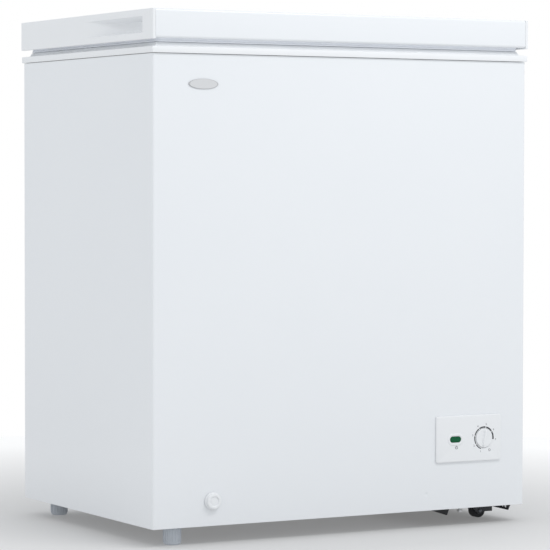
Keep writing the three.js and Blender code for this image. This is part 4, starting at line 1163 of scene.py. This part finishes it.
# %% [markdown]
# ## Hinges
# Each hinge is a folded base screwed to the back, an arm on the lid, a pin through both and a coiled
# spring on the pin. The spring is a thin tube drawn along a helix. Three screws hold each base and two
# hold each arm.

# %% Hinges
def tube(name, points, radius):
    """A round wire through the points."""
    curve = bpy.data.curves.new(name, "CURVE")
    curve.dimensions, curve.bevel_depth, curve.use_fill_caps = "3D", radius * MM, True
    curve.bevel_resolution = 2
    spline = curve.splines.new("POLY")
    spline.points.add(len(points) - 1)
    for point, co in zip(spline.points, points):
        point.co = (*(Vector(co) * MM), 1.0)
    line = placed(name + "_line", curve)
    bpy.context.view_layer.update()
    mesh = baked(line)
    bpy.data.objects.remove(line)
    mesh.name = name
    mesh.shade_smooth()
    return placed(name, mesh)


def hinge_spring(node):
    low, high = box(node)
    centre, wire = (low + high) / 2, 0.8
    radius, turns, steps = (high.z - low.z) / 2 - wire, 4, 24
    points = []
    for i in range(turns * steps + 1):
        a = 2 * math.pi * i / steps
        x = low.x + wire + (high.x - low.x - 2 * wire) * i / (turns * steps)
        points.append((x, centre.y + radius * math.cos(a), centre.z + radius * math.sin(a)))
    return tube(node + "_coil", points, wire)


for where in ("left", "right"):
    refined("hinge_base_" + where, ZINC, 0.3)
    refined("hinge_arm_" + where, ZINC, 0.3)
    refined("hinge_pin_" + where, BRIGHT_ZINC, 0.3)
    settle(hinge_spring("hinge_spring_" + where), BRIGHT_ZINC, "hinge_spring_" + where)
print("hinges done")

# %% Hinge screws
def hinge_screws(kind, spots):
    places = []
    for where in ("left", "right"):
        low, high = box(f"hinge_{kind}_{where}")
        for x, z in spots:
            spot = ((low.x + high.x) / 2 + x, low.y + 2, (low.z if z > 0 else high.z) + z)
            places.append((spot, (-math.pi / 2, 0, 0.3 + x)))
    return copies(f"hinge_{kind}_screws", screw_head(3.2, 1.8), places, BRIGHT_ZINC)


settle(hinge_screws("base", ((-25, 12), (25, 12), (0, 14))), BRIGHT_ZINC, body="cabinet")
settle(hinge_screws("arm", ((-9, -9), (9, -9))), BRIGHT_ZINC, body="lid")
print("hinge screws done")

# %% [markdown]
# ## The basket
# The basket is welded from round wire with a white coating. Hoops run down one side, under and up the
# other, in both directions, and level wires tie them. A thicker wire makes the rim that rests on the
# ledges. Every wire is a tube, and the two sets of hoops are each one shape copied along a line.

# %% Basket
def basket():
    low, high = box("storage_basket")
    rim_wire, wire, taper, bend = 2.0, 1.4, 12, 14
    end_room, side_room = 3, 14  # from the rim's box to the hoops
    rim_z, floor_z = high.z - rim_wire, low.z + wire
    cx, cy = (low.x + high.x) / 2, (low.y + high.y) / 2
    full_x, full_y = (high.x - low.x) / 2, (high.y - low.y) / 2
    half_x, half_y = full_x - end_room - wire, full_y - side_room - wire

    def hoop_line(half_top):
        """Half widths and heights in a plane, from one rim to the other."""
        half_floor = half_top - taper
        left = [(-half_top, rim_z), (-half_floor - 1, floor_z + bend)]
        left += [(-half_floor + bend * (1 - math.cos(a)), floor_z + bend * (1 - math.sin(a)))
                 for a in (math.radians(15 * i) for i in range(1, 7))]
        return left + [(-u, z) for u, z in reversed(left)]

    def along(reach, count):
        return [-reach + 2 * reach * i / (count - 1) for i in range(count)]

    long = tube("long_hoop", [(u, 0, z) for u, z in hoop_line(half_x)], wire)
    cross = tube("cross_hoop", [(0, u, z) for u, z in hoop_line(half_y)], wire)
    reach_x, reach_y = half_x - taper - bend * 0.4, half_y - taper - bend * 0.4
    long_places = [((cx, cy + y, 0), (0, 0, 0)) for y in along(reach_y, 14)]
    cross_places = [((cx + x, cy, wire), (0, 0, 0)) for x in along(reach_x, 9)]
    parts = [copies("long_set", long, long_places, WIRE_COAT),
             copies("cross_set", cross, cross_places, WIRE_COAT)]

    def level(name, x, y, z, radius, r=12):
        outline = rect_outline(cx - x, cx + x, cy - y, cy + y, r, z, 6)
        return tube(name, outline + [outline[0]], radius)

    for t in (0.25, 0.5, 0.75):
        parts.append(level("band", half_x - taper * t + wire, half_y - taper * t + wire,
                           rim_z + (floor_z - rim_z) * t, wire))
    parts.append(level("rim", full_x - rim_wire, full_y - rim_wire, rim_z, rim_wire, 10))
    parts.append(level("inner_rim", half_x + wire, half_y + wire, rim_z - rim_wire, wire))
    for x in along(reach_x, 5):
        for side in (-1, 1):
            parts.append(tube("stay", [(cx + x, cy + side * half_y, rim_z - rim_wire),
                                       (cx + x, cy + side * (full_y - rim_wire), rim_z)], wire))
    return joined(parts, "wire_basket")


settle(basket(), WIRE_COAT, "storage_basket")
print("basket done")

# %% [markdown]
# ## The compressor and its plumbing
# The compressor is a welded steel can on rubber mounts. It is oval, and a seam runs round it. The lines
# to and from it are bent copper tube, and the drier is a swollen length of copper.

# %% Compressor
def compressor():
    low, high = box("compressor")
    r = (high.x - low.x) / 2 - 2.5
    cx, cy = (low.x + high.x) / 2, (low.y + high.y) / 2
    seam, shoulder, dome, oval = 76, 106, 44, 1.32
    angles = [math.radians(a) for a in range(12, 90, 12)]
    profile = [(0, 0), (r - 16, 0), *arc(r - 16, 16, 16, -80, 0, 6), (r, seam - 3.4), (r + 2.2, seam - 3),
               (r + 2.5, seam - 2), (r + 2.5, seam + 2), (r + 2.2, seam + 3), (r, seam + 3.4), (r, shoulder),
               *[(r * math.cos(a) ** 0.8, shoulder + dome * math.sin(a)) for a in angles],
               (0, high.z - low.z)]
    can = turned("can", profile, (cx, cy, low.z), "up", 64, 34, oval)
    half_x, half_y = 51, 103
    plate = loft("plate", [rect_outline(cx - half_x, cx + half_x, cy - half_y, cy + half_y, 9, low.z + z, 6)
                           for z in (8, 8.4, 10.6, 11)])
    return joined([can, plate], "compressor_can")


settle(compressor(), BLACK_STEEL, "compressor")
refined("relay_cover", RELAY_PLASTIC, 2.5, 4)
refined("thermostat_body", ZINC, 1.2, 3)
for node in ("filter_drier", "suction_line", "discharge_line", "evaporator_coil", "condenser_coil"):
    refined(node, COPPER, 0, smooth=62)
for i in range(1, 5):
    refined(f"compressor_grommet_{i}", RUBBER, 0.5)
    refined(f"compressor_bolt_{i}", BRIGHT_ZINC, 0.3)
refined("cord_gland", RUBBER, 0.4)
print("compressor space done")

# %% [markdown]
# The foam fills the walls and the lid. The inner panel's pressed tray and rounded edge leave the lid's
# foam less room than a square block has, so its lower face is drawn in and up a little.

# %% Foam
refined("insulation_foam", FOAM, 0)
lid_foam = refined("lid_foam", FOAM, 0)
foam_low, foam_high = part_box("lid_foam")
middle = (foam_low + foam_high) / 2
for vertex in lid_foam.data.vertices:
    if vertex.co.z < foam_low.z + 1 * MM:
        vertex.co.x -= math.copysign(7 * MM, vertex.co.x - middle.x)
        vertex.co.y -= math.copysign(7 * MM, vertex.co.y - middle.y)
        vertex.co.z += 3 * MM
print("foam done")

# %% [markdown]
# ## Fixings under the front edge
# Two bright screws hold the tray's right rail near its front end, and a bolt hangs from the hem of the
# cabinet beside them. They are small, but they catch the light in the dark under the cabinet.

# %% Tray fixings
def hanging_bolt(place):
    profile = [(0, 0), (3.2, 0), (3.9, 0.5), (3.9, 2.6), (5.6, 2.7), (5.6, 3.4), (2.0, 3.5), (2.0, 7.8),
               (0, 7.8)]
    return rounded(turned("hex", profile, place, sides=6), 0.2)


def tray_fixings():
    low, high = box("compressor_tray")
    places = [((high.x - 1.8, low.y + y, high.z - 5.6), (0, -math.pi / 2, 0.4 * y)) for y in (11, 21)]
    bolt = hanging_bolt((low.x + 17, low.y - 7, high.z - 7.6))
    return copies("tray_screws", screw_head(2.9, 2.0), places, BRIGHT_ZINC, [bolt])


settle(tray_fixings(), BRIGHT_ZINC, body="cabinet")
print("tray fixings done")

# %% [markdown]
# ## The floor
# The floor is a light table, as catalogue studios use: a pale disc that glows by itself, more towards
# its edge, where it melts into the white room. It keeps the shadow soft and lights the feet from below.

# %% Floor
def floor():
    table = Finish("light_table", (0.5, 0.5, 0.5), 0.8, Emission_Strength=1.0, Specular_IOR_Level=0.2)
    x, y = table.place("X"), table.place("Y")
    glow = table.ramp((x * x + y * y).power(0.5), 0.4, 1.3, 0.18, 0.55)
    table.set("Emission Color", table.mix(glow, (0, 0, 0), (1, 1, 1)))
    plane = turned("floor", [(0, -10), (1500, -10), (1500, 0), (0, 0)], (0, 0, 0), sides=96)
    plane.data.materials.append(table.material)
    return plane


floor()
print("floor done")
